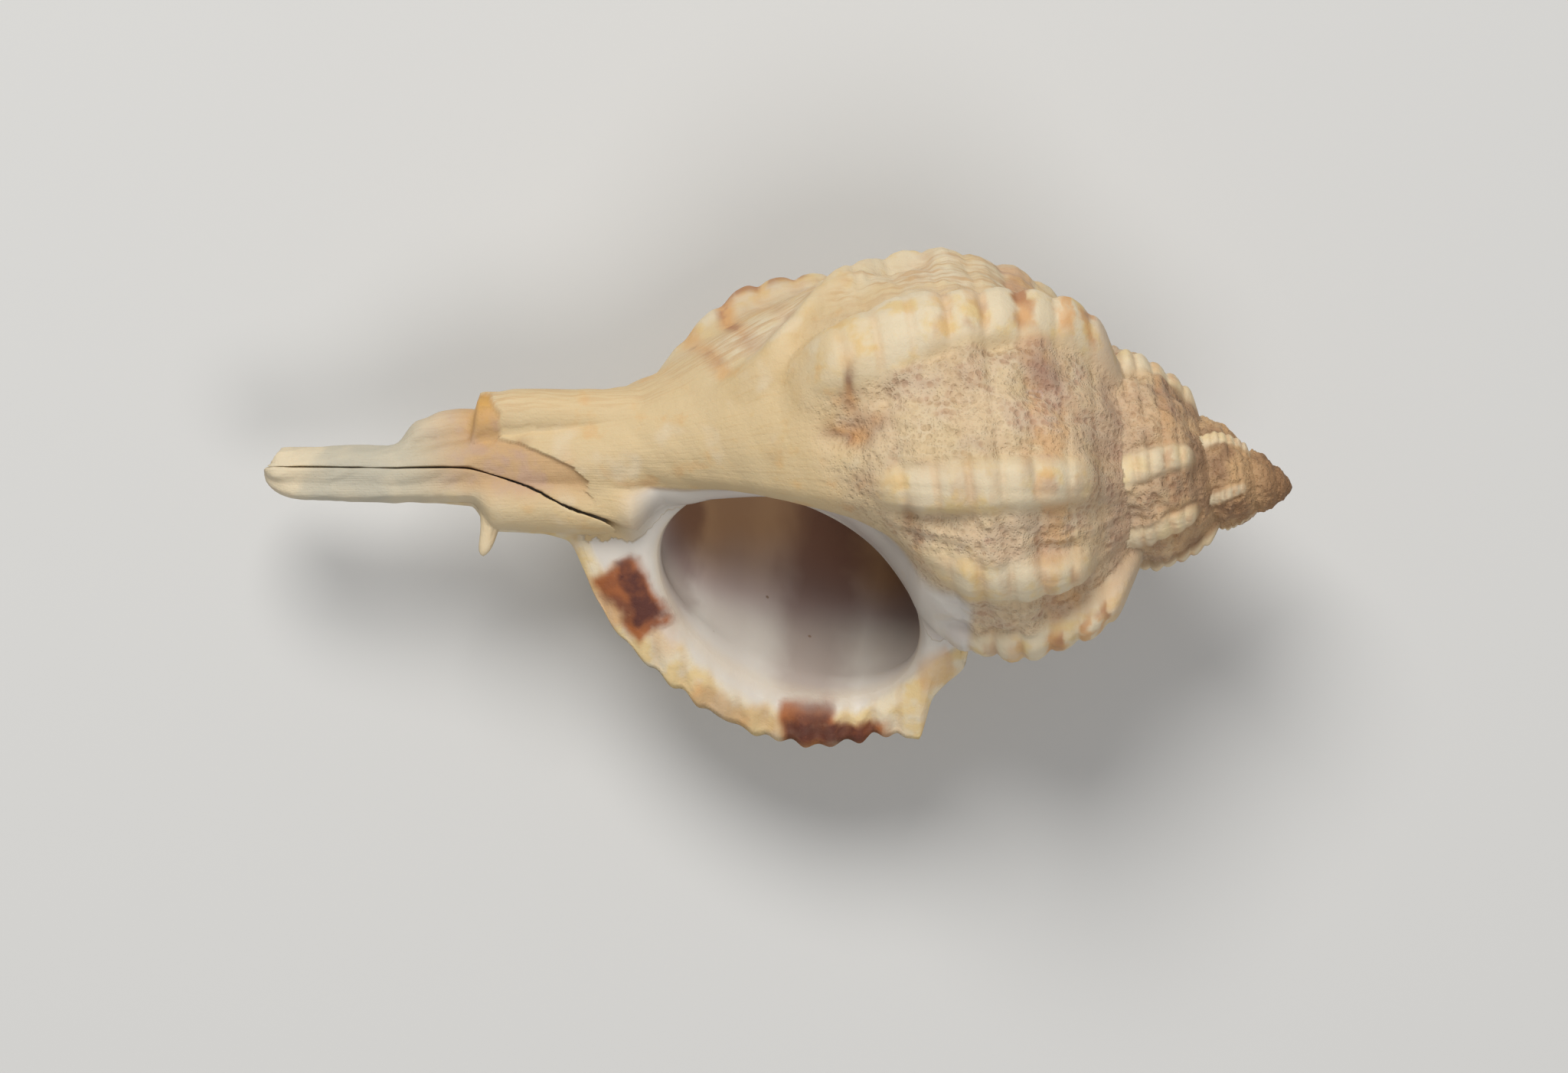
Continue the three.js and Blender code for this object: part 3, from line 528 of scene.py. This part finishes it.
def canal_spine():
    """The small blunt spine below the canal."""
    a, lean, radius, low, high = CANAL_SPINE
    length = high - low
    root = to_model(np.array(a), np.array(-90.0), np.array(low))
    turn = np.linspace(0, 2 * math.pi, 20, endpoint=False)
    rings = []
    for s in np.linspace(0, 0.98, 16):
        size = radius * (0.62 * math.sqrt(1 - s ** 6) + 0.75 * (1 - s) ** 3)
        x = -math.tan(math.radians(lean)) * length * s - 0.25 * s * s
        across, up = size * np.cos(turn) + x, 0.8 * size * np.sin(turn) + 0.1 * s
        rings.append(root + np.stack([across, 0 * turn - length * s, up], -1))
    rings = np.array(rings)
    return closed_body("shell_spine", rings, rings[0].mean(0), rings[-1].mean(0) - (0, 0.1, 0))


def relax(piece, weight, rounds):
    """Moves each point towards the middle of its neighbours, as far as its weight says."""
    co = positions(piece)
    edges = np.empty(2 * len(piece.data.edges), int)
    piece.data.edges.foreach_get("vertices", edges)
    edges = edges.reshape(-1, 2)
    edges = edges[(weight[edges] > 0).any(axis=1)]
    used, index = np.unique(edges, return_inverse=True)
    index = index.reshape(-1, 2)
    ends, others = np.concatenate([index[:, 0], index[:, 1]]), np.concatenate([index[:, 1], index[:, 0]])
    count = np.bincount(ends, minlength=len(used))[:, None]
    p, w = co[used], 0.6 * weight[used][:, None]
    for _ in range(rounds):
        mean = np.stack([np.bincount(ends, p[others, k], len(used)) for k in range(3)], -1) / count
        p = lerp(p, mean, w)
    co[used] = p
    piece.data.vertices.foreach_set("co", (co * MM).ravel())


def soften_mouth(piece):
    """Rounds the rim of the mouth and the entry to the canal."""
    a, angle, radius = from_model(positions(piece))
    behind = LIP_ANGLE + 360 - angle
    behind = np.where(behind > 300, behind - 360, behind)  # a little in front of the lip's plane
    depth = outside(a, np.full_like(a, LIP_ANGLE + 360.0))[0] - radius
    near = (1 - smoothstep(np.abs(behind), 9, 14)) * smoothstep(a, 20.5, 22) * (1 - smoothstep(a, 40, 42))
    relax(piece, near * smoothstep(depth, 1.8, 3.4) * smoothstep(radius, 2.2, 3.5), LIP_SOFTENING)


def soften_slit(piece):
    """Rounds the lips of the canal's slit."""
    a, angle, radius = from_model(positions(piece))
    y = radius * np.sin(np.radians(angle))
    near = 1 - smoothstep(np.abs(y + slit_depth(a)), 0.25, 0.6)
    relax(piece, near * smoothstep(a, 38, 40) * smoothstep(radius, 1.0, 1.3), SLIT_SOFTENING)


def combine(piece, tool, operation):
    """Joins a tool to the piece, or cuts it away, and removes the tool."""
    modifier = piece.modifiers.new("combine", "BOOLEAN")
    modifier.operation = operation
    modifier.solver = "MANIFOLD"
    modifier.object = tool
    apply_modifiers(piece)
    bpy.data.objects.remove(tool)


def apply_modifiers(piece):
    """Makes what the modifiers show the piece's own mesh."""
    bpy.context.view_layer.update()
    shown = piece.evaluated_get(bpy.context.evaluated_depsgraph_get())
    mesh = bpy.data.meshes.new_from_object(shown)
    piece.modifiers.clear()
    piece.data = mesh


def flatten_rest(piece):
    """Points below the surface the shell lies on are worn off."""
    co = positions(piece)
    co[:, 2] = np.maximum(co[:, 2], 0)
    piece.data.vertices.foreach_set("co", (co * MM).ravel())


def positions(piece):
    """The piece's points, in mm."""
    co = np.empty(len(piece.data.vertices) * 3)
    piece.data.vertices.foreach_get("co", co)
    return co.reshape(-1, 3) / MM


def keep_lip(piece):
    """Names a vertex group of the lip's face, whose fine markings need its points."""
    a, angle, radius = from_model(positions(piece))
    turned = np.abs(np.where(angle > 180, angle - 360, angle) - LIP_ANGLE)
    on_face = (turned < 6) & (a > 19) & (a < 45) & (radius > 3)
    group = piece.vertex_groups.new(name="lip")
    group.add(np.flatnonzero(on_face).tolist(), 1.0, "REPLACE")
    return group.name


def decimate(piece, most):
    """Thins the mesh to a number of triangles, except on the lip's face."""
    count = sum(len(p.vertices) - 2 for p in piece.data.polygons)
    if count > most:
        modifier = piece.modifiers.new("thin", "DECIMATE")
        modifier.ratio = most / count
        modifier.vertex_group = keep_lip(piece)
        modifier.invert_vertex_group = True
        apply_modifiers(piece)
        piece.vertex_groups.clear()


# -------- where each finish lies
def stripe(value, middle, half, soft):
    """1 within `half` of the middle, fading over `soft`."""
    return 1 - smoothstep(np.abs(value - middle), half, half + soft)


def stripes(value, rows, soft=0.8):
    """The strongest of several stripes: middle, half width, strength."""
    return np.max([strength * stripe(value, middle, half, soft * half)
                   for middle, half, strength in rows], axis=0)


def streak(a, radius, start, end, half, soft=0.25):
    """A straight mark on the lip's face, between two (a, radius) points."""
    start, end = np.array(start), np.array(end)
    length = np.linalg.norm(end - start)
    along = (end - start) / length
    da, dr = a - start[0], radius - start[1]
    u, v = da * along[0] + dr * along[1], da * along[1] - dr * along[0]
    return (1 - smoothstep(np.abs(u - length / 2), length / 2, length / 2 + soft)) * (
        1 - smoothstep(np.abs(v), half, half + soft))


def spots(a, angle, rows):
    """The strongest of several soft spots: a, angle, half sizes, strength."""
    return np.max([strength * soft_spot(a, angle, *spot) for *spot, strength in rows], axis=0)


def distances(piece, tree):
    """How far each point is from a surface, in mm."""
    return np.array([tree.find_nearest(v.co)[3] for v in piece.data.vertices]) / MM


def paint(piece, hollow_tree):
    """Stores, at each point, what the material needs to know about the place."""
    a, angle, radius = from_model(positions(piece))
    outer, share, place, age = outside(a, angle)
    behind = LIP_ANGLE + 360 - angle  # degrees behind the lip's plane
    front = smoothstep(behind, 318, 322) * smoothstep(radius, columella(a) - 1.5, columella(a) - 0.5)
    depth = outer - radius
    lined = 1 - smoothstep(distances(piece, hollow_tree), 0.05, 0.12)
    under = np.maximum(smoothstep(depth, 1.2, 1.8), lined)
    near_lip = (1 - smoothstep(behind, 3, 9)) * smoothstep(a, 18.3, 19.3)
    inside = under * (1 - near_lip) * (1 - front)
    rim = smoothstep(depth, 0.1, 0.5) * near_lip
    inner_place = outline_place(np.clip(behind / 360, 0, 1), a)
    place = np.where(under > 0.5, inner_place, place)
    # Places shifted a little by noise, so that the markings' edges are ragged.
    uneven = place + 0.05 * noise(angle / 6, a / 1.2) + 0.03 * noise(angle / 2, a / 0.5)
    ragged_a = a + 0.28 * noise(a / 1.1, radius / 1.1) + 0.07 * noise(a / 0.3, radius / 0.3 + 7)
    ragged_radius = radius + 0.28 * noise(a / 1.1 + 30, radius / 1.1)
    ragged_radius = ragged_radius + 0.07 * noise(a / 0.3 + 9, radius / 0.3)
    lip_face = smoothstep(depth, -0.2, 0.05) * near_lip

    def streaks(rows, wider, soft):
        return np.max([strength * streak(ragged_a, ragged_radius, start, end, half + wider, soft)
                       for start, end, half, strength in rows], axis=0)

    cream = lerp(2.5, 3.4, smoothstep(a, 33, 37))  # how far in the lip's cream part reaches
    by_spine = smoothstep(radius - 12 - 0.68 * (a - 21.5), -0.3, 0.4) * (1 - smoothstep(a, 26, 28))
    inner_lip = smoothstep(-angle + 8 * smoothstep(a, 22, 25), 42, 54)
    inner_lip = inner_lip * smoothstep(a, 18.9, 19.6) * (1 - smoothstep(a, 38, 41))
    sheet = beyond_sheet(a, angle) * (1 - under) * smoothstep(a, 40, 43)
    past_rib = 360 * (LOW_RIB_AGE - age) - ridge_lean(place) - LOW_RIB[7] * smoothstep(place, *SWING)
    beyond_rib = smoothstep(past_rib, 4, 9) * smoothstep(age, 0.37, 0.39) * smoothstep(place, 1.2, 1.5)
    beyond_rib = beyond_rib * (1 - smoothstep(place, 2.3, 2.8)) * (1 - under)
    between_ribs = smoothstep(age, 0.56, 0.62)
    by_low_rib = smoothstep(age, 0.45, 0.5) * (1 - smoothstep(age, 0.56, 0.6))
    on_spire = smoothstep(age, 1.05, 1.15) * (1 - smoothstep(age, 3.2, 3.6))
    on_neck = smoothstep(place, 1.35, 2) * (1 - smoothstep(a, 44, 50))
    layers = {
        "crest": share * (1 - under),
        "cord": cord_wave(age, place),
        "band": stripes(uneven, BANDS[:5]) + stripes(uneven, BANDS[5:]) * (age < 0.5),
        "inside": inside,
        "deep": under * smoothstep(behind + 16 * noise(a / 3, angle / 30), 12, 84),
        "rim": rim,
        "edge": np.maximum(1 - smoothstep(depth, cream - 1, cream), by_spine) * lip_face,
        "mark": streaks(LIP_MARKS, -0.1, 0.45) * lip_face,
        # Embers and stains include painted shade beside the lip's spine.
        "ember_and_shade": streaks(LIP_EMBERS_AND_SHADE, -0.2, 0.7) * lip_face,
        "stain_and_shade": streaks(LIP_STAINS_AND_SHADE, 0, 0.7) * lip_face,
        "purple": stripes(uneven, INNER_BANDS, 2.5),
        "stripe": stripe(uneven, 0.52, 0.07, 0.07) * (1 - smoothstep(share, 0.3, 0.7)),
        "pitted": (1 - smoothstep(share, 0.12, 0.5)) * between_ribs * (1 - smoothstep(place, 1.75, 2.3)),
        "callus": np.maximum(inner_lip, under * front),
        "canal": smoothstep(a, 48, 55) * (1 - under),
        "sheet": sheet * (1 - smoothstep(a, 50, 54)),
        "rust": np.exp(-(((a - 48.6) / 0.8) ** 2) - ((angle - 72) / 24) ** 2) * sheet,
        "suture": stripe(place, 0.04, 0.05, 0.1) * (1 - under),
        # Painted shade: olive at the feet of the ridges between the ribs.
        "hollow": (1 - smoothstep(share, 0.05, 0.3)) * smoothstep(share, 0.0, 0.12) * between_ribs,
        "tip": 1 - smoothstep(a, 3, 15),
        "apex": 1 - smoothstep(a, 0.8, 3.8),
        "neck": on_neck * (1 - under) * (1 - beyond_rib),
        "groove": (beyond_rib * (1 - smoothstep(cord_wave(age, place), 0.05, 0.75))
                   * lerp(0.3, 1, smoothstep(a, 32.5, 34))),
        "nodule": smoothstep(share, 0.3, 0.75) * on_spire,
        "streaked": by_low_rib * (1 - smoothstep(share, 0.2, 0.5)),
        # Brown spots: stains, and painted shade in the hollows under the varices.
        "dirt_and_shade": spots(ragged_a, angle, DIRT_AND_SHADE) * (1 - under),
        # Purple spots in the dents under the varices, partly painted shade.
        "bruise_and_shade": spots(ragged_a, angle, BRUISES_AND_SHADE) * (1 - under),
    }
    for name, values in layers.items():
        layer = piece.data.attributes.new(name, "FLOAT", "POINT")
        layer.data.foreach_set("value", np.asarray(values, np.float32))
    growth = np.stack([age * 60, place * 1.2, 0 * age], -1)
    layer = piece.data.attributes.new("growth", "FLOAT_VECTOR", "POINT")
    layer.data.foreach_set("vector", growth.astype(np.float32).ravel())


# -------- the material
class Graph:
    """Short names for building a node tree."""

    def __init__(self, name):
        self.material = bpy.data.materials.new(name)
        self.material.use_nodes = True
        self.tree = self.material.node_tree
        self.tree.nodes.clear()

    def node(self, kind, **values):
        """A new node with these settings."""
        node = self.tree.nodes.new(kind)
        for key, value in values.items():
            setattr(node, key, value)
        return node

    def plug(self, value, socket):
        """Links another node's output, or sets a plain value."""
        if isinstance(value, bpy.types.NodeSocket):
            self.tree.links.new(value, socket)
        else:
            socket.default_value = value

    def layer(self, name, output="Fac"):
        """A layer stored on the mesh by paint()."""
        return self.node("ShaderNodeAttribute", attribute_name=name).outputs[output]

    def math(self, operation, p, q=0.0, clamp=False):
        node = self.node("ShaderNodeMath", operation=operation, use_clamp=clamp)
        self.plug(p, node.inputs[0])
        self.plug(q, node.inputs[1])
        return node.outputs[0]

    def both(self, p, q):
        """p times q: full only where both are."""
        return self.math("MULTIPLY", p, q)

    def ramp(self, value, low, high, to_low=0.0, to_high=1.0):
        """A smooth rise, or fall, from one value to another."""
        node = self.node("ShaderNodeMapRange", interpolation_type="SMOOTHSTEP")
        for socket, item in zip(("Value", "From Min", "From Max", "To Min", "To Max"),
                                (value, low, high, to_low, to_high)):
            self.plug(item, node.inputs[socket])
        return node.outputs["Result"]

    def noise(self, vector, scale, detail=3.0, roughness=0.55):
        node = self.node("ShaderNodeTexNoise")
        self.plug(vector, node.inputs["Vector"])
        node.inputs["Scale"].default_value = scale
        node.inputs["Detail"].default_value = detail
        node.inputs["Roughness"].default_value = roughness
        return node.outputs["Fac"]

    def cells(self, vector, scale):
        node = self.node("ShaderNodeTexVoronoi", feature="F1")
        self.plug(vector, node.inputs["Vector"])
        node.inputs["Scale"].default_value = scale
        return node.outputs["Distance"]

    def mix(self, amount, under, over):
        node = self.node("ShaderNodeMix", data_type="RGBA")
        self.plug(amount, node.inputs["Factor"])
        self.plug(under if isinstance(under, bpy.types.NodeSocket) else (*under, 1), node.inputs["A"])
        self.plug(over if isinstance(over, bpy.types.NodeSocket) else (*over, 1), node.inputs["B"])
        return node.outputs["Result"]

    def over(self, colour, amount, top, strength=1.0):
        """The colour with another laid over it, as strongly as the amount and strength say."""
        return self.mix(self.math("MULTIPLY", amount, strength, True), colour, top)


# Colours, as linear red, green and blue.
CREAM = (0.62, 0.475, 0.27)
PALE = (0.68, 0.58, 0.41)
YELLOW = (0.68, 0.51, 0.25)
ORANGE = (0.62, 0.33, 0.13)
BROWN = (0.36, 0.14, 0.055)
DARK = (0.085, 0.024, 0.018)
RUST = (0.34, 0.10, 0.025)
UMBER = (0.17, 0.05, 0.022)
ROSE = (0.48, 0.28, 0.19)
PURPLE = (0.165, 0.07, 0.055)
CHALK = (0.62, 0.465, 0.30)
MAUVE = (0.47, 0.30, 0.21)
PIT = (0.25, 0.16, 0.10)
OLIVE_SHADE = (0.28, 0.20, 0.10)
WHITE = (0.62, 0.575, 0.515)
LILAC = (0.55, 0.46, 0.43)
INNER = (0.50, 0.30, 0.165)
CANAL = (0.485, 0.455, 0.365)
TAN = (0.52, 0.325, 0.16)
OCHRE = (0.60, 0.40, 0.15)
IVORY = (0.72, 0.60, 0.39)
PLUM = (0.24, 0.125, 0.10)
AMBER = (0.60, 0.34, 0.10)
WORN = (0.24, 0.125, 0.06)


class Textures:
    """The noises that every part of the finish shares."""

    def __init__(self, g):
        self.where = g.node("ShaderNodeTexCoord").outputs["Object"]
        self.big = g.noise(self.where, 170)
        self.medium = g.noise(self.where, 480)
        self.other = g.noise(self.where, 330, 2)
        self.fine = g.noise(self.where, 2600, 4, 0.65)
        self.lines = g.noise(g.layer("growth", "Vector"), 3.0, 3)
        self.pits = g.cells(self.where, 2100)
        self.small_pits = g.cells(self.where, 5600)


def ground_colour(g, t, pitted):
    """The wall between the crests: cream, yellower in patches, with growth lines."""
    colour = g.mix(g.ramp(t.big, 0.38, 0.66), CREAM, PALE)
    colour = g.over(colour, g.ramp(t.medium, 0.5, 0.7), YELLOW, 0.5)
    colour = g.over(colour, g.ramp(t.other, 0.52, 0.72), TAN, 0.5)
    colour = g.over(colour, g.ramp(t.lines, 0.5, 0.75), TAN, 0.3)
    colour = g.over(colour, g.both(g.layer("streaked"), g.ramp(t.lines, 0.42, 0.62)), TAN, 0.6)
    # Hollows between the ribs are chalky, greyer and full of pits.
    chalk = g.mix(g.ramp(t.medium, 0.44, 0.62), CHALK, MAUVE)
    chalk = g.over(chalk, g.ramp(t.other, 0.46, 0.64), CREAM, 0.7)
    chalk = g.over(chalk, g.ramp(t.big, 0.52, 0.66), ROSE, 0.45)
    chalk = g.over(chalk, g.ramp(t.lines, 0.52, 0.7), PALE, 0.4)
    colour = g.over(colour, pitted, chalk, 0.85)
    colour = g.over(colour, g.layer("stripe"), g.mix(g.ramp(t.medium, 0.4, 0.6), ORANGE, ROSE), 0.5)
    # Painted shade: olive where the ridges meet the ground between the ribs.
    colour = g.over(colour, g.both(g.layer("hollow"), g.ramp(t.medium, 0.3, 0.6)), OLIVE_SHADE, 0.35)
    pit_mask = g.both(g.ramp(t.pits, 0.12, 0.55, 1.0, 0.0), g.ramp(t.fine, 0.3, 0.6, 0.3, 1.0))
    walls = g.both(g.ramp(t.pits, 0.34, 0.62), g.both(pitted, g.ramp(t.medium, 0.35, 0.6)))
    colour = g.over(colour, walls, PALE, 0.4)
    return g.over(colour, g.both(pit_mask, pitted), PIT, 0.2)


def crest_colour(g, t, colour):
    """Crests, paler and crossed by brown bands, then the worn spire, the neck, and the stains and painted
    shade in the hollows under the varices.
    """
    crest = g.layer("crest")
    knob = g.ramp(crest, 0.25, 0.7)
    colour = g.over(colour, knob, g.mix(g.ramp(t.medium, 0.48, 0.66), PALE, YELLOW), 0.85)
    between = g.ramp(g.layer("cord"), 0.02, 0.35, 1.0, 0.0)
    between = g.both(between, g.both(knob, g.ramp(t.other, 0.35, 0.65)))
    colour = g.over(colour, between, ORANGE, 0.26)
    colour = g.over(colour, g.layer("groove"), g.mix(g.ramp(t.medium, 0.36, 0.56), BROWN, ORANGE), 0.85)
    banded = g.both(g.layer("band"), g.ramp(crest, 0.5, 0.85, 0.2, 1.0))
    banded = g.both(banded, g.ramp(t.medium, 0.3, 0.5, 0.5, 1.0))
    colour = g.over(colour, banded, g.mix(g.ramp(t.other, 0.42, 0.6), ORANGE, BROWN), 0.8)
    colour = g.over(colour, g.layer("suture"), MAUVE, 0.35)
    worn = g.both(g.layer("tip"), g.ramp(crest, 0.45, 0.9, 1.0, 0.2))
    colour = g.over(colour, worn, g.mix(g.ramp(t.other, 0.38, 0.66), WORN, TAN), 0.9)
    colour = g.over(colour, g.layer("apex"), WORN, 0.85)
    colour = g.over(colour, g.both(g.layer("nodule"), g.ramp(t.medium, 0.35, 0.55, 0.2, 1.0)), IVORY, 0.5)
    colour = g.over(colour, g.layer("neck"), g.mix(g.ramp(t.big, 0.42, 0.62), CREAM, OCHRE), 0.5)
    colour = g.over(colour, g.both(g.layer("neck"), g.ramp(t.medium, 0.55, 0.7)), ORANGE, 0.35)
    colour = g.over(colour, g.both(g.layer("neck"), g.ramp(t.other, 0.54, 0.68)), PALE, 0.6)
    # Purple spots, partly painted shade in the dents under the varices.
    bruise_and_shade = g.both(g.layer("bruise_and_shade"), g.ramp(t.other, 0.3, 0.55, 0.35, 1.0))
    colour = g.over(colour, bruise_and_shade, PLUM, 0.62)
    # Brown spots: stains, and painted shade under the varices.
    dirt_and_shade = g.both(g.layer("dirt_and_shade"), g.ramp(t.medium, 0.25, 0.5, 0.5, 1.0))
    return g.over(colour, dirt_and_shade, g.mix(g.ramp(t.other, 0.42, 0.62), UMBER, ORANGE), 0.8)


def canal_colour(g, t, colour, callus):
    """The canal, tan where it is old and pale at its end, and the white inner lip."""
    colour = g.over(colour, g.layer("sheet"), g.mix(g.ramp(t.medium, 0.45, 0.65), TAN, MAUVE), 0.85)
    colour = g.over(colour, g.layer("canal"), g.mix(g.ramp(t.big, 0.4, 0.62), CANAL, PALE), 0.92)
    colour = g.over(colour, g.layer("rust"), AMBER, 1.1)
    return g.mix(callus, colour, g.mix(g.ramp(t.big, 0.45, 0.65, 0.0, 0.35), WHITE, LILAC))


def lip_colour(g, t, colour):
    """The lip's face: white within, cream towards its edge, with dark marks and painted shade by its spine.
    """
    colour = g.mix(g.layer("rim"), colour, WHITE)
    outer_lip = g.mix(g.ramp(t.medium, 0.42, 0.6), PALE, YELLOW)
    outer_lip = g.over(outer_lip, g.ramp(g.layer("cord"), 0.0, 0.4, 1.0, 0.0), TAN, 0.25)
    colour = g.over(colour, g.layer("edge"), outer_lip, 0.95)
    # Stains, one of them painted shade beside the spine.
    colour = g.over(colour, g.layer("stain_and_shade"), g.mix(g.ramp(t.other, 0.4, 0.6), ORANGE, TAN), 0.8)
    # Dark embers, one of them painted shade in the spine's groove.
    ember_and_shade = g.both(g.layer("ember_and_shade"), g.ramp(t.medium, 0.3, 0.46, 0.55, 1.0))
    colour = g.over(colour, ember_and_shade, g.mix(g.ramp(t.other, 0.38, 0.6), UMBER, RUST), 0.97)
    mark = g.both(g.layer("mark"), g.ramp(t.fine, 0.2, 0.45, 0.75, 1.0))
    return g.over(colour, mark, g.mix(g.ramp(t.medium, 0.52, 0.66), DARK, UMBER), 0.95)


def lining_colour(g, t):
    """The lining: white near the rim, brown deep inside, with purple spiral bands."""
    deep = g.layer("deep")
    lining = g.mix(g.ramp(deep, 0.0, 0.3), WHITE, LILAC)
    lining = g.mix(g.ramp(deep, 0.1, 0.8), lining, INNER)
    lining = g.over(lining, g.both(g.layer("purple"), g.ramp(deep, 0.0, 0.6, 0.42, 0.74)), PURPLE)
    return g.over(lining, g.ramp(g.cells(t.where, 420), 0.03, 0.06, 1.0, 0.0), PIT, 0.8)


def relief(g, t, pitted, polish):
    """Relief finer than the mesh: pits, chalk grain and growth lines."""
    hole = g.both(g.ramp(t.pits, 0.1, 0.55, 1.0, 0.0), g.ramp(pitted, 0.0, 1.0, 0.1, 0.6))
    grain = g.both(g.ramp(t.small_pits, 0.05, 0.5), g.ramp(pitted, 0.0, 1.0, 0.08, 0.4))
    grown = g.both(t.lines, g.ramp(g.layer("crest"), 0.2, 0.8, 0.35, 0.1))
    height = g.math("SUBTRACT", g.math("ADD", grown, grain), hole)
    height = g.math("ADD", height, g.math("MULTIPLY", t.fine, 0.35))
    bump = g.node("ShaderNodeBump")
    g.plug(g.both(height, g.ramp(polish, 0.0, 1.0, 1.0, 0.05)), bump.inputs["Height"])
    bump.inputs["Distance"].default_value = 0.11 * MM
    bump.inputs["Strength"].default_value = 0.9
    return bump.outputs["Normal"]


def shell_material():
    """The shell's whole finish. Each colour is laid over the ones before it."""
    g = Graph("shell_finish")
    t = Textures(g)
    inside, rim, edge = g.layer("inside"), g.layer("rim"), g.layer("edge")
    pitted = g.both(g.layer("pitted"), g.ramp(t.big, 0.2, 0.5, 0.6, 1.0))
    callus = g.both(g.layer("callus"), g.ramp(t.medium, 0.2, 0.4, 0.75, 1.0))
    colour = crest_colour(g, t, ground_colour(g, t, pitted))
    colour = lip_colour(g, t, canal_colour(g, t, colour, callus))
    colour = g.mix(inside, colour, lining_colour(g, t))
    lip_polish = g.both(rim, g.ramp(edge, 0.0, 1.0, 1.0, 0.0))
    polish = g.math("MAXIMUM", g.math("MAXIMUM", inside, lip_polish), callus)
    polish = g.both(polish, g.ramp(g.layer("ember_and_shade"), 0.0, 0.6, 1.0, 0.0))

    shader = g.node("ShaderNodeBsdfPrincipled")
    g.plug(colour, shader.inputs["Base Color"])
    g.plug(g.ramp(polish, 0.0, 1.0, 0.68, 0.34), shader.inputs["Roughness"])
    g.plug(relief(g, t, pitted, polish), shader.inputs["Normal"])
    shader.inputs["Subsurface Weight"].default_value = 0.1
    shader.inputs["Subsurface Radius"].default_value = (0.9 * MM, 0.6 * MM, 0.4 * MM)
    shader.inputs["Subsurface Scale"].default_value = 1.0
    shader.inputs["Specular IOR Level"].default_value = 0.35
    output = g.node("ShaderNodeOutputMaterial")
    g.plug(shader.outputs["BSDF"], output.inputs["Surface"])
    return g.material


# -------- the studio
FLOOR_HALF = 8.0  # in metres, far past the picture's edge


def floor():
    """A plain grey floor."""
    mesh = bpy.data.meshes.new("floor")
    h = FLOOR_HALF
    mesh.from_pydata([(-h, -h, 0), (h, -h, 0), (h, h, 0), (-h, h, 0)], [], [(0, 1, 2, 3)])
    piece = bpy.data.objects.new("floor", mesh)
    bpy.context.collection.objects.link(piece)
    g = Graph("floor_finish")
    shader = g.node("ShaderNodeBsdfPrincipled")
    shader.inputs["Base Color"].default_value = (0.62, 0.62, 0.61, 1)
    shader.inputs["Roughness"].default_value = 0.9
    g.plug(shader.outputs["BSDF"], g.node("ShaderNodeOutputMaterial").inputs["Surface"])
    mesh.materials.append(g.material)


def aim(thing, position, target):
    """Puts a light at a position and points it at a target."""
    direction = Vector(target) - Vector(position)
    thing.location = position
    thing.rotation_euler = direction.to_track_quat("-Z", "Y").to_euler()


def area_light(name, position, size, watts, colour):
    """A round, soft light that points at the shell."""
    data = bpy.data.lights.new(name, "AREA")
    data.shape = "DISK"
    data.size = size
    data.energy = watts
    data.color = colour
    light = bpy.data.objects.new(name, data)
    bpy.context.collection.objects.link(light)
    aim(light, position, (0, 0, 0.01))


def studio():
    """Soft light from all sides, a key light from above in the picture and a weak fill."""
    world = bpy.data.worlds.new("studio")
    world.use_nodes = True
    world.node_tree.nodes["Background"].inputs["Color"].default_value = (0.95, 0.97, 1, 1)
    world.node_tree.nodes["Background"].inputs["Strength"].default_value = 0.24
    bpy.context.scene.world = world
    bpy.context.scene.view_settings.view_transform = "Standard"
    area_light("key", (-0.12, 0.32, 0.45), 0.3, 2.5, (1, 0.98, 0.95))
    area_light("fill", (0.1, -0.22, 0.5), 0.3, 0.9, (1, 0.98, 0.96))


def camera():
    """Looks down on the shell as the picture does, square to the growth frame's x and y."""
    width_mm, lens, sensor = 94.2, 200.0, 36.0
    distance = width_mm * lens / sensor
    target = laid_down(np.array([-30.6, -4.46, 0.0]))
    c, s = math.cos(REST_PITCH), math.sin(REST_PITCH)
    right, up, back = np.array([c, 0, -s]), np.array([0, 1.0, 0]), np.array([s, 0, c])
    place = (target + back * distance) * MM
    data = bpy.data.cameras.new("camera")
    data.lens, data.sensor_width = lens, sensor
    view = bpy.data.objects.new("camera", data)
    bpy.context.collection.objects.link(view)
    view.matrix_world = Matrix([[right[i], up[i], back[i], place[i]] for i in range(3)] + [[0, 0, 0, 1]])
    bpy.context.scene.camera = view


def shell():
    """The one piece: built solid, hollowed, softened, thinned and painted."""
    piece = body()
    piece.name = "murex_shell"
    combine(piece, canal_spine(), "UNION")
    cutter = hollow()
    hollow_tree = BVHTree.FromObject(cutter, bpy.context.evaluated_depsgraph_get())
    combine(piece, cutter, "DIFFERENCE")
    combine(piece, slit(), "DIFFERENCE")
    soften_mouth(piece)
    soften_slit(piece)
    decimate(piece, MOST_TRIANGLES)
    flatten_rest(piece)
    tidy_mesh(piece, 1e-6)
    piece.data.polygons.foreach_set("use_smooth", [True] * len(piece.data.polygons))
    paint(piece, hollow_tree)
    piece.data.materials.clear()
    piece.data.materials.append(shell_material())
    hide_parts("shell")
    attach(piece, "root")


shell()
floor()
studio()
camera()
